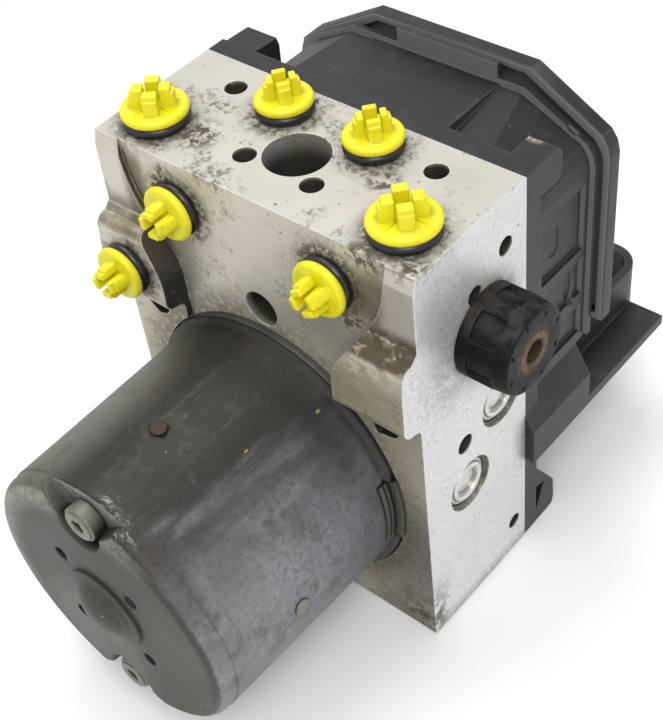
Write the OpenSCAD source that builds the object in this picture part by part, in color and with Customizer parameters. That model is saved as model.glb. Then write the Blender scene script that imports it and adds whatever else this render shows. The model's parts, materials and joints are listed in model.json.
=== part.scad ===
// ABS hydraulic unit: valve block, pump motor, controller and transport plugs.
// The origin is the centre of the block's bottom face: x across, y from the motor to the controller, z up.

/* [View] */
// Which piece to show

/* [Valve block] */
// Width of the block across the ports
block_w = 102.8; // [100:0.2:112]
// Depth of the block between motor and controller
block_d = 43.9; // [42:0.1:52]
// Height of the block
block_h = 134.6; // [134:0.2:146]
// How far the stepped ridge stands out of the front
ridge_out = 6.2; // [4:0.1:8]
// Depth of the milled front pocket and motor seat
pocket_depth = 2; // [1.2:0.1:3]
// Radius of the blind hole between the top ports
centre_bore_r = 8.7; // [6:0.1:9]
// Radius of the four plain top holes
top_hole_r = 3.1; // [2:0.1:3.6]
// Radius of the hole in the front pocket
front_hole_r = 5.3; // [3:0.1:6]

/* [Ports and plugs] */
// Radius of the two large ports
big_port_r = 6; // [5:0.1:6.5]
// Radius of the five small ports
small_port_r = 5; // [4:0.1:5.4]
// Flange radius of the large plugs
big_plug_r = 9; // [8:0.1:10]
// Flange radius of the small plugs
small_plug_r = 7.8; // [7:0.1:8.6]
// Height of the lugs over the plug's flange
crown_h = 5.2; // [4:0.1:9]

/* [Motor] */
// Height of the motor's axis over the block's bottom
motor_z = 49; // [48:0.2:50]
// Radius of the motor can at the block
can_r = 41.1; // [40:0.1:41.8]
// Length of the motor over the block's front
motor_len = 68; // [66:0.5:84]
// Sheet thickness of the can
can_wall = 2.2; // [1.6:0.1:2.4]
// Radius of the boss at the end of the can
boss_r = 12.8; // [12:0.1:14]
// Radius of the armature's iron core
core_r = 28.4; // [26:0.2:28.8]
// Radius of the motor shaft
shaft_r = 4; // [3.6:0.1:4.2]

/* [Pump] */
// How far the eccentric pin stands off the motor's axis
eccentric = 1.2; // [0.8:0.1:1.4]
// Radius of the pump pistons
piston_r = 4.5; // [3.5:0.1:5]
// Radius of the swaged caps on the block's sides
cap_r = 8.5; // [7.5:0.1:8.8]
// Radius of the accumulator bores
acc_r = 13.2; // [10:0.1:13.6]
// Depth of the accumulator bores
acc_depth = 27; // [26:0.1:30]

/* [Controller] */
// Thickness of the controller's frame on the block
frame_t = 5.9; // [5:0.1:8]
// Depth of the controller's box behind the frame
box_d = 22; // [19:0.2:26]
// Wall of the controller's mouldings
shell_t = 2.5; // [1.8:0.1:2.8]
// Thickness of the cover
cover_t = 4.8; // [4.6:0.1:8]
// Height of the harness socket's rim over its floor
socket_h = 13.5; // [10:0.5:16]

/* [Mounting bush] */
// Radius of the rubber bush
bush_r = 12.5; // [11:0.1:13]
// Length of the rubber bush
bush_len = 14.5; // [12:0.1:20]
// Radius of the steel core
core_tube_r = 6.5; // [5.5:0.1:7]
// Radius of the threaded bore in the steel core
bush_bore_r = 3.2; // [2.5:0.1:4]

/* [Hidden] */
$fn = 64;
e = 0.01;
// play of a seated piece, and radial play of a running one
fit = 0.03;
run = 0.05;
front = -block_d / 2;
back = block_d / 2;
side = block_w / 2;
seat_y = front + pocket_depth;
// ports: [x, y] on top, [x, z] on the front
big_x = side - 11.6;
big_y = -8.95;
small_x = 14.4;
small_y = 11.65;
centre_y = -0.45;
top_far = [side - 19, 12.55];
top_near = [10.85, -7.55];
top_hole_depth = 12;
pocket_port = [25, block_h - 13.8];
ridge_port = [10.6 - side, motor_z + 50];
ridge_y = front - ridge_out;
ridge_z = motor_z + 36;
ridge_seat = ridge_y + 0.3;
front_hole = [-0.6, motor_z + 49.1];
front_hole_depth = 18;
big_depth = 15;
small_depth = 14;
centre_depth = 22;
// side holes: [y, z, radius, depth]
side_holes = [[13.35, block_h - 14.6, 2.7, 10], [0.85, block_h - 21, 2.7, 8],
    [-5.05, 66.2, 3, 10], [16.55, 11.9, 2.5, 8]];
damper = [11.05, motor_z + 20.5];
damper_depth = 12;
bush_pos = [4.3, block_h - 34.1];
stud_r = 2.8;
stud_depth = 14;
// motor
can_end_r = can_r - 1.3;
can_in_r = can_end_r - can_wall;
flange_r = can_r + 1.9;
flange_t = 1.6;
shield_r = flange_r;
seat_r = shield_r + 0.6;
seam_h = motor_len - 6;
screw_off = can_r - 8.4;
screw_r = 2.5;
screw_head_r = 5.1;
head_h = 4.8;
dent_depth = 5;
dent_r = 7;
// half the dent's width at the rim
dent_w = 15;
boss_h = 4.6;
boss_step = 0.9;
// inner end of the bush's seat over the end face
bush_top = 1.4;
end_hole_r = 2.1;
end_hole_off = 17.9;
// sphere of the domed boss, from its height and its radius at the foot
dome_foot = boss_r - 2;
dome_sphere = (boss_h * boss_h + dome_foot * dome_foot) / (2 * boss_h);
boss_in = shaft_r + 3;
rivet_h = motor_len - 29.9;
rivet_seat = can_r - 0.9;
// armature core and magnets, from the can's ends
core_z = 21;
core_len = motor_len - core_z - 13;
magnet_z = core_z - 1;
magnet_len = core_len + 2;
head_z = core_z - 3.5;
head_len = 5;
rivet_r = 2.3;
rivet_hole_r = 1.5;
// bearing: races, balls and seat
ball_r = 1.6;
race_in = shaft_r + 1.6;
ball_pitch = race_in + 1.3;
race_out = ball_pitch + 1.3;
bearing_r = race_out + 2;
bearing_w = 6;
bearing_h = -8;
hub_r = bearing_r + 1.8;
chamber_r = hub_r + run;
chamber_depth = 30;
// eccentric and pistons
pump_y = -3.55;
pump_h = front - pump_y;
pin_r = shaft_r + eccentric + 0.1;
pin_len = 10;
needle_r = 0.9;
ring_in = pin_r + 2 * needle_r + run;
ring_out = ring_in + 1.85;
needle_pitch = ring_in - needle_r;
piston_tip = ring_out + eccentric + 0.3;
pump_bore_r = piston_r + run;
piston_back = 29;
sleeve_x = 22;
sleeve_r = 6.2;
cap_x = 36;
cap_recess = 1.4;
// accumulators
acc_x = 25;
acc_gap = 0.5;
acc_piston_h = 8;
acc_cap_t = 2.5;
acc_cap_z = 0.8;
acc_top = acc_depth - acc_gap;
acc_bot = acc_top - acc_piston_h;
acc_spring_z = acc_top - 3;
// valves and coils: outer columns lie this far in from the block's sides
valve_out = side - 23.4;
valve_step = valve_out / 1.5;
valve_x = [for (i = [-1.5 : 1 : 1.5]) i * valve_step];
valve_pitch = 19;
valve_z = [for (i = [2 : -1 : 0]) block_h - 22.6 - i * valve_pitch];
valve_r = 5.5;
valve_depth = 13;
dome_r = 4.2;
dome_top = back + 22;
coil_y = back + 7.2;
coil_len = 13.4;
// coils keep this much clear of half the closer spacing
coil_gap = 1.1;
coil_r = min(valve_step, valve_pitch) / 2 - coil_gap;
yoke_t = 0.8;
// controller
frame_y = back + frame_t;
box_y = frame_y + box_d;
lip_t = 1.7;
neck_t = 1.1;
lip_y = box_y + lip_t;
cover_y = lip_y + neck_t;
board_t = 1.6;
box_l = 9.4 - side;
box_r = side;
box_b = block_h - 73.6;
box_top = block_h - 0.6;
// flat field on top: left end, right end and how far the shoulders drop beside it
field_l = 34.9 - side;
field_r = side - 27.2;
shoulder_dip = 2.6;
ecu_screw = [side - 5, 5];
ecu_screw_r = 2;
ecu_screw_depth = 12;
socket_x0 = 21.4 - side;
socket_x1 = side - 8.4;
socket_y0 = frame_y + 30;
socket_y1 = frame_y + 70;
floor_z = block_h - 96.6;
floor_t = 3.3;
floor_y = frame_y + 63;
rim_z = floor_z + socket_h;

// The hydraulic core: an extruded profile with its ridge, milled pocket, ports and bores
module valve_block() color("silver") difference() {
    block_body();
    front_pocket();
    motor_seat();
    top_ports();
    front_ports();
    side_bores();
    valve_bores();
    accumulator_bores();
}
// The extrusion: its section in y and z, with a top that leans back and the rounded ridge
module block_body() {
    across() difference() {
        translate([front, 0]) square([block_d, block_h]);
        polygon([[front - 1, ridge_z + 27.7], [front + 0.3, ridge_z + 27.7], [front + 0.6, block_h - 4.6],
            [front + 1.1, block_h - 2.3], [front + 1.5, block_h - 0.9], [front + 1.5, block_h + 1],
            [front - 1, block_h + 1]]);
    }
    across() translate([0, ridge_z]) polygon([[front + 1, 0], [front, 0.8], [front - 0.9, 2.1],
        [ridge_y + 3.3, 2.8], [ridge_y + 0.1, 6], [ridge_y + 0.2, 15.4], [ridge_y + 0.8, 22.3],
        [front - 1.9, 25.6], [front + 0.3, 27.7], [front + 1, 28]]);
    across() translate([ridge_y + 3.3, ridge_z + 6]) circle(3.3);
    across() translate([ridge_y + 4.2, ridge_z + 22.3]) circle(3.4);
}
module across() translate([-side, 0, 0]) rotate([90, 0, 90]) linear_extrude(block_w) children();
// The pocket in the front, from the motor seat to the top edge
module front_pocket() {
    low = [29, motor_z + 47];
    high = [side - 8.4, block_h - 2.6];
    rim = concat([[low[0], motor_z + 29]], [for (i = [0 : 12]) bend(low, [0, 10], [-1, -20], high, i / 12)],
        [[high[0], block_h + 1]]);
    left = [for (i = [len(rim) - 1 : -1 : 0]) [-rim[i][0], rim[i][1]]];
    slab(front - 20, seat_y) polygon(concat(rim, left));
}
// Point t on a smooth curve from a to d, which leaves a by b and reaches d by c
function bend(a, b, c, d, t) = pow(1 - t, 3) * a + 3 * t * pow(1 - t, 2) * (a + b)
    + 3 * t * t * (1 - t) * (d + c) + pow(t, 3) * d;
// Seat of the motor, its screw holes and the eccentric's chamber
module motor_seat() {
    on_motor() translate([0, 0, -pocket_depth]) cylinder(r = seat_r, h = 30);
    on_motor() translate([0, 0, -chamber_depth]) cylinder(r = chamber_r, h = 40);
    for (s = [-1, 1]) {
        on_motor() translate([0, s * screw_off, -15]) cylinder(r = screw_r + fit / 2, h = 30);
        slab(front - 1, front + 4) translate([s > 0 ? 35.6 : -44.9, motor_z + 29])
            polygon([[0, 2.3], [8.4, 2.3], [7.2, 0.3], [s > 0 ? 1.2 : 3.9, -1]]);
    }
}
// Blind bores in the top face
module top_ports() {
    for (s = [-1, 1]) {
        from_top(s * big_x, big_y, big_depth, big_port_r);
        from_top(s * small_x, small_y, small_depth, small_port_r);
        from_top(s * top_far[0], top_far[1], top_hole_depth, top_hole_r);
        from_top(s * top_near[0], top_near[1], top_hole_depth, top_hole_r);
    }
    from_top(0, centre_y, centre_depth, centre_bore_r);
}
// Ports and holes in the front
module front_ports() {
    for (s = [-1, 1])
        from_front(s * pocket_port[0], pocket_port[1], seat_y, small_depth, small_port_r - 0.4);
    from_front(ridge_port[0], ridge_port[1], ridge_y, small_depth + 4, small_port_r - 0.4);
    at_ridge() cylinder(r = small_plug_r + 0.5, h = 5);
    from_front(front_hole[0], front_hole[1], seat_y, front_hole_depth, front_hole_r);
}
// Bores in the two sides: pump, dampers, plain holes and the stud's hole
module side_bores() {
    for (s = [-1, 1]) on_side(s) {
        for (h = side_holes) translate([h[0], h[1], -h[3]]) cylinder(r = h[2], h = 40);
        translate([damper[0], damper[1], -damper_depth]) cylinder(r = cap_r, h = 40);
        translate([pump_y, motor_z, cap_x - side]) cylinder(r = cap_r, h = 40);
        translate([pump_y, motor_z, sleeve_x - side]) cylinder(r = sleeve_r, h = 30);
        translate([pump_y, motor_z, -side + 5]) cylinder(r = pump_bore_r, h = 40);
    }
    on_side(1) translate([bush_pos[0], bush_pos[1], -stud_depth]) cylinder(r = stud_r, h = 40);
}
// Seats of the valves and holes of the controller's screws
module valve_bores() {
    for (x = valve_x, z = valve_z)
        translate([x, back + 5, z]) rotate([90, 0, 0]) cylinder(r = valve_r, h = valve_depth + 5);
    at_ecu_screws() translate([0, 0, -ecu_screw_depth]) cylinder(r = ecu_screw_r + fit / 2, h = 30);
}
// Bores of the low-pressure accumulators
module accumulator_bores() {
    for (s = [-1, 1]) translate([s * acc_x, 0, -5]) cylinder(r = acc_r, h = acc_depth + 5);
}

// Deep-drawn can: flange, tapered wall, rolled end with its boss and two dented screw seats
module motor_can() color("dimgray") on_motor() difference() {
    difference() {
        rotate_extrude() can_outline();
        for (s = [-1, 1]) dent(s, 0, motor_len - dent_depth);
    }
    difference() {
        union() {
            translate([0, 0, -e]) cylinder(r = can_in_r, h = motor_len - can_wall + e);
            cylinder(r = boss_in, h = motor_len + bush_top);
        }
        for (s = [-1, 1]) dent(s, can_wall, motor_len - dent_depth - can_wall);
    }
    for (s = [-1, 1]) translate([0, s * screw_off, 30]) cylinder(r = screw_r, h = motor_len);
    for (a = [45 : 90 : 315]) rotate(a) translate([end_hole_off, 0, motor_len - 5])
        cylinder(r = end_hole_r, h = 8);
    at_rivets() {
        cylinder(r = rivet_r + fit, h = 5);
        translate([0, 0, -8]) cylinder(r = rivet_hole_r + fit / 2, h = 9);
    }
    window_sector(window_h + 0.1, 8, 0.6);
}
module can_outline() {
    polygon([[0, 0], [flange_r, 0], [flange_r, flange_t], [can_r, flange_t + 0.6], [can_end_r + 0.3, seam_h],
        [can_end_r, seam_h + 0.2], [can_end_r, motor_len - 4], [can_end_r - 4, motor_len],
        [boss_r - 3, motor_len], [0, motor_len]]);
    translate([can_end_r - 4, motor_len - 4]) circle(4);
    translate([0, motor_len - 1]) square([boss_r, boss_step + 1]);
    translate([0, motor_len]) intersection() {
        translate([0, boss_h - dome_sphere]) circle(dome_sphere, $fn = 128);
        square([boss_r, boss_h]);
    }
}
// Dent at a screw: round about the head, open to the rim
module dent(s, grow, h0) {
    w = dent_r + grow;
    translate([0, 0, h0]) linear_extrude(30) scale([1, s]) {
        translate([0, screw_off]) circle(w);
        polygon([[-w, screw_off], [w, screw_off], [dent_w + grow, can_end_r], [dent_w + grow, 50],
            [-dent_w - grow, 50], [-dent_w - grow, can_end_r]]);
    }
}
window_h = 4.8;
// Sector of a ring at the window in the can's rim
module window_sector(h, deep, grow) {
    a0 = -12 - grow;
    a1 = 17 + grow;
    intersection() {
        translate([0, 0, -e]) difference() {
            cylinder(r = flange_r + 1, h = h);
            translate([0, 0, -1]) cylinder(r = can_r - deep, h = h + 2);
        }
        translate([0, 0, -1]) linear_extrude(h + 2) polygon([[0, 0], [70 * cos(a0), 70 * sin(a0)], [70, 0],
            [70 * cos(a1), 70 * sin(a1)]]);
    }
}

// End shield: plate in the block's seat, hub with the bearing seat and the ribs seen in the window
module motor_end_shield() color("gray") on_motor() {
    difference() {
        union() {
            translate([0, 0, -pocket_depth]) cylinder(r = shield_r, h = pocket_depth);
            translate([0, 0, bearing_h]) cylinder(r = hub_r, h = 2 - bearing_h);
        }
        translate([0, 0, bearing_h - e]) cylinder(r = bearing_r, h = bearing_w + e);
        translate([0, 0, bearing_h - e]) cylinder(r = bearing_r - 1.5, h = 20);
        for (s = [-1, 1]) translate([0, s * screw_off, -5]) cylinder(r = screw_r, h = 10);
    }
    difference() {
        window_sector(window_h, 2.6, 0);
        for (h = [1.4, 3]) translate([0, 0, h]) difference() {
            cylinder(r = 60, h = 0.5);
            translate([0, 0, -1]) cylinder(r = can_r - 0.6, h = 3);
        }
        translate([0, 0, 1.9]) difference() {
            cylinder(r = 60, h = 5);
            translate([0, 0, -1]) cylinder(r = can_r + 0.5, h = 8);
        }
    }
}
// The two long screws that hold the motor on the block
module motor_screws() color("darkgray") on_motor() for (s = [-1, 1])
    translate([0, s * screw_off, motor_len - dent_depth]) difference() {
        union() {
            cylinder(r = screw_head_r, h = head_h - 0.6);
            cylinder(r = screw_head_r - 0.7, h = head_h);
            translate([0, 0, dent_depth - motor_len - 13])
                cylinder(r = screw_r, h = motor_len - dent_depth + 14);
        }
        translate([0, 0, 2]) linear_extrude(5) star(2.2, 1.6);
    }
// Six-pointed socket outline
module star(r0, r1) polygon([for (i = [0 : 11]) let (r = i % 2 == 0 ? r0 : r1)
    [r * cos(i * 30), r * sin(i * 30)]]);
// Rivets round the can, which hold the magnets' clips
module motor_rivets() color("silver") on_motor() at_rivets() {
    cylinder(r = rivet_r, h = 0.9);
    translate([0, 0, can_in_r - rivet_seat]) cylinder(r = rivet_hole_r, h = rivet_seat - can_in_r + 0.1);
}
module at_rivets() for (a = [0 : 90 : 270]) rotate(a) translate([rivet_seat, 0, rivet_h]) rotate([0, 90, 0])
    children();
// Two magnet shells with gaps for the screws
module motor_magnets() color("darkslategray") on_motor() for (s = [-1, 1]) intersection() {
    translate([0, 0, magnet_z]) difference() {
        cylinder(r = can_in_r, h = magnet_len);
        translate([0, 0, -1]) cylinder(r = core_r + 0.6, h = magnet_len + 2);
    }
    translate([0, 0, 10]) linear_extrude(60) polygon([[0, 0], [s * 50, 32], [s * 50, -32]]);
}
brush_h = 6;
brush_w = 6;
comm_r = 11;
guide = can_in_r - comm_r - 8.6;
// Brush holder: ring against the can with two slotted guides
module brush_plate() color("saddlebrown") on_motor() difference() {
    union() {
        translate([0, 0, brush_h - 4]) cylinder(r = can_in_r - fit, h = 2.5);
        for (s = [-1, 1]) translate([s > 0 ? comm_r + 1 : -comm_r - 1 - guide, -5, brush_h - 2])
            cube([guide, 10, 10]);
    }
    translate([0, 0, -1]) cylinder(r = comm_r + 1, h = 30);
    for (s = [-1, 1]) {
        translate([s > 0 ? comm_r : -comm_r - guide + 1, -brush_w / 2, brush_h])
            cube([guide - 1, brush_w, brush_w]);
        translate([0, s * screw_off, 0]) cylinder(r = screw_r + 1, h = 10);
    }
}
// Carbon brushes against the commutator
module motor_brushes() color("black") on_motor() for (s = [-1, 1])
    translate([s > 0 ? comm_r + 0.3 : -comm_r - 9.3, -brush_w / 2, brush_h]) cube([9, brush_w, brush_w]);
// Springs that press the brushes
module brush_springs() color("lightgray") on_motor() for (s = [-1, 1])
    translate([s * (comm_r + 9.3), 0, brush_h + brush_w / 2]) rotate([0, s * 90, 0])
        coil(2.3, 0.3, 4, 7.7, 10, 5);
// Sintered bush in the boss
module end_bush() color("goldenrod") on_motor() translate([0, 0, motor_len - 6]) difference() {
    cylinder(r = boss_in, h = 6 + bush_top);
    translate([0, 0, -1]) cylinder(r = shaft_r + run, h = 20);
}
// Outer race of the bearing in the shield
module shield_bearing_outer() color("silver") on_motor() translate([0, 0, bearing_h]) difference() {
    cylinder(r = bearing_r, h = bearing_w);
    translate([0, 0, -1]) cylinder(r = race_out, h = bearing_w + 2);
    translate([0, 0, bearing_w / 2]) rotate_extrude() translate([ball_pitch, 0]) circle(ball_r + run);
}
// Inner race, turning with the shaft
module shield_bearing_inner() color("silver") on_motor() translate([0, 0, bearing_h]) difference() {
    cylinder(r = race_in, h = bearing_w);
    translate([0, 0, -1]) cylinder(r = shaft_r + fit / 2, h = bearing_w + 2);
    translate([0, 0, bearing_w / 2]) rotate_extrude() translate([ball_pitch, 0]) circle(ball_r);
}
// Bearing balls
module shield_bearing_balls() color("lightgray") on_motor() translate([0, 0, bearing_h + bearing_w / 2])
    for (a = [0 : 45 : 315]) rotate(a) translate([ball_pitch, 0, 0]) sphere(ball_r);
// Shaft with the eccentric pin at its inner end
module armature_shaft() color("silver") on_motor() {
    translate([0, 0, bearing_h - 1.6]) cylinder(r = shaft_r, h = motor_len + bush_top - 1 - bearing_h + 1.6);
    translate([eccentric, 0, pump_h - pin_len / 2])
        cylinder(r = pin_r, h = bearing_h - 1 - pump_h + pin_len / 2);
}
// Iron core of the armature, with its winding slots
module armature_core() color("gray") on_motor() translate([0, 0, core_z]) difference() {
    cylinder(r = core_r, h = core_len);
    translate([0, 0, -1]) cylinder(r = shaft_r + fit / 2, h = core_len + 2);
    for (a = [0 : 30 : 330]) rotate(a) translate([core_r - 9, -1.6, -1]) cube([7, 3.2, core_len + 2]);
    for (a = [0 : 30 : 330]) rotate(a) translate([core_r - 4, -0.6, -1]) cube([6, 1.2, core_len + 2]);
}
// Winding heads and the wire in the slots
module armature_winding() color("peru") on_motor() difference() {
    union() {
        translate([0, 0, head_z]) cylinder(r = core_r - 3, h = core_z - head_z);
        translate([0, 0, core_z + core_len]) cylinder(r = core_r - 3, h = head_len);
        for (a = [0 : 30 : 330]) rotate(a) translate([core_r - 9, -1.6, core_z - 1])
            cube([5.5, 3.2, core_len + 2]);
    }
    translate([0, 0, head_z - 1]) cylinder(r = shaft_r + 3, h = motor_len);
}
// Commutator under the brushes
module commutator() color("chocolate") on_motor() translate([0, 0, brush_h - 2]) difference() {
    cylinder(r = comm_r, h = 11.5);
    translate([0, 0, -1]) cylinder(r = shaft_r + fit / 2, h = 14);
    for (a = [0 : 30 : 330]) rotate(a) translate([comm_r - 1, -0.3, -1]) cube([3, 0.6, 10]);
}

// Ring of the eccentric's needle bearing
module eccentric_ring() color("lightgray") at_pin() difference() {
    cylinder(r = ring_out, h = pin_len - 1);
    translate([0, 0, -1]) cylinder(r = ring_in, h = pin_len + 2);
}
// Needles between pin and ring
module eccentric_needles() color("silver") at_pin() for (a = [0 : 30 : 330]) rotate(a)
    translate([needle_pitch, 0, 0.5]) cylinder(r = needle_r, h = pin_len - 2);
module at_pin() on_motor() translate([eccentric, 0, pump_h - pin_len / 2 + 0.5]) children();

// Pump pistons on both sides of the eccentric
module pump_pistons() color("silver") for (s = [-1, 1]) pump_axis(s) difference() {
    union() {
        translate([0, 0, piston_tip]) cylinder(r = piston_r, h = piston_back - piston_tip);
        translate([0, 0, piston_back - e]) cylinder(r = piston_r - 1.6, h = 2);
    }
    translate([0, 0, 19]) cylinder(r = 1, h = 20);
}
// Return springs of the pump pistons
module pump_springs() color("lightgray") for (s = [-1, 1]) pump_axis(s)
    translate([0, 0, piston_back]) coil(piston_r - 0.7, 0.35, 4, cap_x - 1.5 - piston_back, 12, 5);
// Pump sleeves, closed at the outer end
module pump_sleeves() color("darkgray") for (s = [-1, 1]) pump_axis(s) difference() {
    translate([0, 0, sleeve_x]) cylinder(r = sleeve_r, h = cap_x - sleeve_x);
    translate([0, 0, sleeve_x - 1]) cylinder(r = pump_bore_r, h = cap_x - sleeve_x - 0.5);
    translate([0, 0, cap_x - 3]) cylinder(r = 1.5, h = 4);
}
// Swaged caps of the pump
module pump_caps() color("lightgray") for (s = [-1, 1])
    pump_axis(s) translate([0, 0, cap_x]) cap(side - cap_x);
// Swaged caps of the dampers
module damper_caps() color("lightgray") for (s = [-1, 1]) on_side(s)
    translate([damper[0], damper[1], -damper_depth]) difference() {
        cap(damper_depth);
        translate([0, 0, -1]) cylinder(r = cap_r - 2, h = damper_depth - 4);
    }
// Cap turned from bar: rolled edge, groove, ring and dished centre
module cap(h) rotate_extrude() difference() {
    union() {
        square([cap_r, h - cap_recess]);
        translate([cap_r - 3.2, h - cap_recess]) circle(0.9);
    }
    translate([cap_r - 1.5, h - cap_recess - 0.9]) square([0.9, 2]);
    translate([0, h - cap_recess - 0.5]) square([cap_r - 4.6, 2]);
}

// Accumulator pistons, cups that slide down against their springs
module accumulator_piston(s) translate([s * acc_x, 0, acc_bot]) difference() {
    cylinder(r = acc_r - run, h = acc_piston_h);
    translate([0, 0, -1]) cylinder(r = acc_r - 3, h = acc_piston_h - 2);
    translate([0, 0, acc_piston_h - 4]) difference() {
        cylinder(r = acc_r + 1, h = 2);
        translate([0, 0, -1]) cylinder(r = acc_r - 1.6, h = 4);
    }
}
module accumulator_piston_left() color("gainsboro") accumulator_piston(-1);
module accumulator_piston_right() color("gainsboro") accumulator_piston(1);
// Sealing rings in the pistons' grooves
module accumulator_ring(s) translate([s * acc_x, 0, acc_bot + acc_piston_h - 4]) difference() {
    cylinder(r = acc_r - run, h = 2);
    translate([0, 0, -1]) cylinder(r = acc_r - 1.6, h = 4);
}
module accumulator_ring_left() color("black") accumulator_ring(-1);
module accumulator_ring_right() color("black") accumulator_ring(1);
// Springs between piston and cap
module accumulator_spring(s) translate([s * acc_x, 0, acc_cap_z + acc_cap_t])
    coil(acc_r - 4.6, 0.9, 4, acc_spring_z - acc_cap_z - acc_cap_t, 14, 6);
module accumulator_spring_left() color("lightgray") accumulator_spring(-1);
module accumulator_spring_right() color("lightgray") accumulator_spring(1);
// Caps swaged into the bottom of the block
module accumulator_caps() color("lightgray") for (s = [-1, 1])
    translate([s * acc_x, 0, acc_cap_z]) difference() {
    cylinder(r = acc_r, h = acc_cap_t);
    translate([0, 0, -1]) cylinder(r = acc_r - 4, h = 1.8);
}

// Valve bodies and domes in the block's back
module valve_domes() color("goldenrod") at_valves() {
    translate([0, 0, -valve_depth]) cylinder(r = valve_r, h = valve_depth);
    cylinder(r = dome_r, h = dome_top - back - 1);
    cylinder(r = dome_r - 1, h = dome_top - back);
}
// Solenoid coils round the domes
module valve_coils() color("sienna") at_valves() translate([0, 0, coil_y - back]) difference() {
    cylinder(r = coil_r, h = coil_len);
    translate([0, 0, -1]) cylinder(r = dome_r + 0.1, h = coil_len + 2);
}
// Steel yokes round the coils
module coil_yokes() color("gray") at_valves() translate([0, 0, coil_y - back - yoke_t]) difference() {
    cylinder(r = coil_r + yoke_t, h = coil_len + 2 * yoke_t);
    translate([0, 0, yoke_t]) cylinder(r = coil_r, h = coil_len);
    translate([0, 0, -1]) cylinder(r = dome_r, h = coil_len + 4);
}

// Outline in x and z with rounded shoulders: sides, bottom, top, then each shoulder's width and height
function outline(xl, xr, zb, zt, lw, lh, rw, rh) = [[xl, zb], [xr, zb], [xr, zt - rh - 6],
    [xr - 0.8, zt - rh - 2.7], [xr - 2.7, zt - rh], [xr - rw, zt], [xl + lw, zt],
    [xl + 5.2, zt - lh], [xl + 0.7, zt - lh - 4],
    [xl, zt - lh - 7]];
box_line = outline(box_l, box_r, box_b, box_top, 17.7, 6.5, 20.6, 8.6);
lip_line = outline(box_l - 2, box_r + 1.3, box_b + 1, block_h + 1.2, 20.6, 8, 21.1, 9.9);
neck_line = outline(box_l - 0.6, box_r + 0.4, box_b + 3, block_h - 0.1, 19.2, 8, 20.6, 9.4);
cover_line = outline(box_l - 4.5, box_r + 4, box_b + 5, block_h + 5.4, 28, 12.8, 23.9, 12.2);
cover_in = outline(box_l - 2, box_r + 1.5, box_b + 7.5, block_h + 2.9, 27, 12.8, 23.3, 12);
room_line = outline(box_l + shell_t, box_r - shell_t, box_b + shell_t, box_top - 5, 15, 4, 17, 6);
window_line = outline(box_l + shell_t, box_r - shell_t - 3.4, box_b + shell_t, box_top - 11.5, 14, 2, 14, 2);
board_line = outline(box_l + 1.3, box_r - 1.3, box_b + 4.5, box_top - 1.3, 17, 6.5, 20.2, 8.4);

// Controller housing: frame, corner posts, ribbed box, lip and harness socket in one moulding
module ecu_housing() color("#2b2b2f") difference() {
    union() {
        translate([-side, back, 0]) cube([block_w, frame_t, block_h]);
        difference() {
            slab(back, box_y) polygon(box_line);
            for (x = [field_l - 50, field_r]) translate([x, 0, 0]) rotate([90, 0, 90]) linear_extrude(50)
                polygon([[frame_y, box_top - shoulder_dip], [box_y, box_top - e], [box_y, box_top + 5],
                    [frame_y, box_top + 5]]);
        }
        translate([field_l, back, box_top - 2]) cube([field_r - field_l, frame_t + box_d + e, 2.5]);
        slab(box_y, lip_y) polygon(lip_line);
        slab(box_y, cover_y) polygon(neck_line);
        translate([field_l + 8, box_y, block_h - 1]) cube([32, lip_t, 6.4]);
        corner_posts();
        harness_body();
    }
    slab(frame_y, cover_y + 1) polygon(room_line);
    slab(box_y, cover_y + 1) polygon(board_line);
    slab(back - 1, frame_y + 1) polygon(window_line);
    slab(frame_y, frame_y + 20) polygon([[box_l + 4, floor_z], [side + 0.6, floor_z],
        [side + 0.6, floor_z + 9], [side - 4.5, floor_z + 18], [side - 4.5, box_b + 4],
        [box_l + 4, box_b + 4]]);
    translate([0, 0, floor_z]) linear_extrude(40) socket_room();
    slab(back - 1, back + seal_t) seal_ring(0.05);
    wall_panels();
    at_ecu_screws() {
        translate([0, 0, -1]) cylinder(r = ecu_screw_r + 0.4, h = 30);
        translate([0, 0, 6]) cylinder(r = 4.4, h = 10);
    }
}
// Gussets at three corners and the flat pad at the fourth
module corner_posts() {
    for (x = [-side, side - post_w]) translate([x, 0, 0]) post_shape();
    translate([-side + 1.3, 0, block_h]) mirror([0, 0, 1]) post_shape();
    translate([side - 8.6, 0, block_h]) rotate([90, 0, 90]) linear_extrude(8.6)
        polygon([[frame_y - e, 0], [frame_y + 7.6, 0], [frame_y + 9.3, -2.2], [frame_y + 9, -8],
            [frame_y + 7.4, -9.6], [frame_y - e, -9.6]]);
}
post_w = 10.5;
module post_shape() difference() {
    rotate([90, 0, 90]) linear_extrude(post_w) polygon([[frame_y - 1, 0], [frame_y + 8.5, 0.4],
        [frame_y + 9.3, 3], [frame_y + 9, 11], [frame_y + 7.6, 13.4], [frame_y + 1, 23.4],
        [frame_y - 1, 26]]);
    rotate([90, 0, 90]) translate([0, 0, -1]) linear_extrude(4)
        polygon([[frame_y, 16.1], [frame_y + 4.4, 15.2], [frame_y, 4.5]]);
    rotate([90, 0, 90]) translate([0, 0, post_w - 2.7]) linear_extrude(4)
        polygon([[frame_y, 16.1], [frame_y + 4.4, 15.2], [frame_y, 4.5]]);
}
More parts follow.
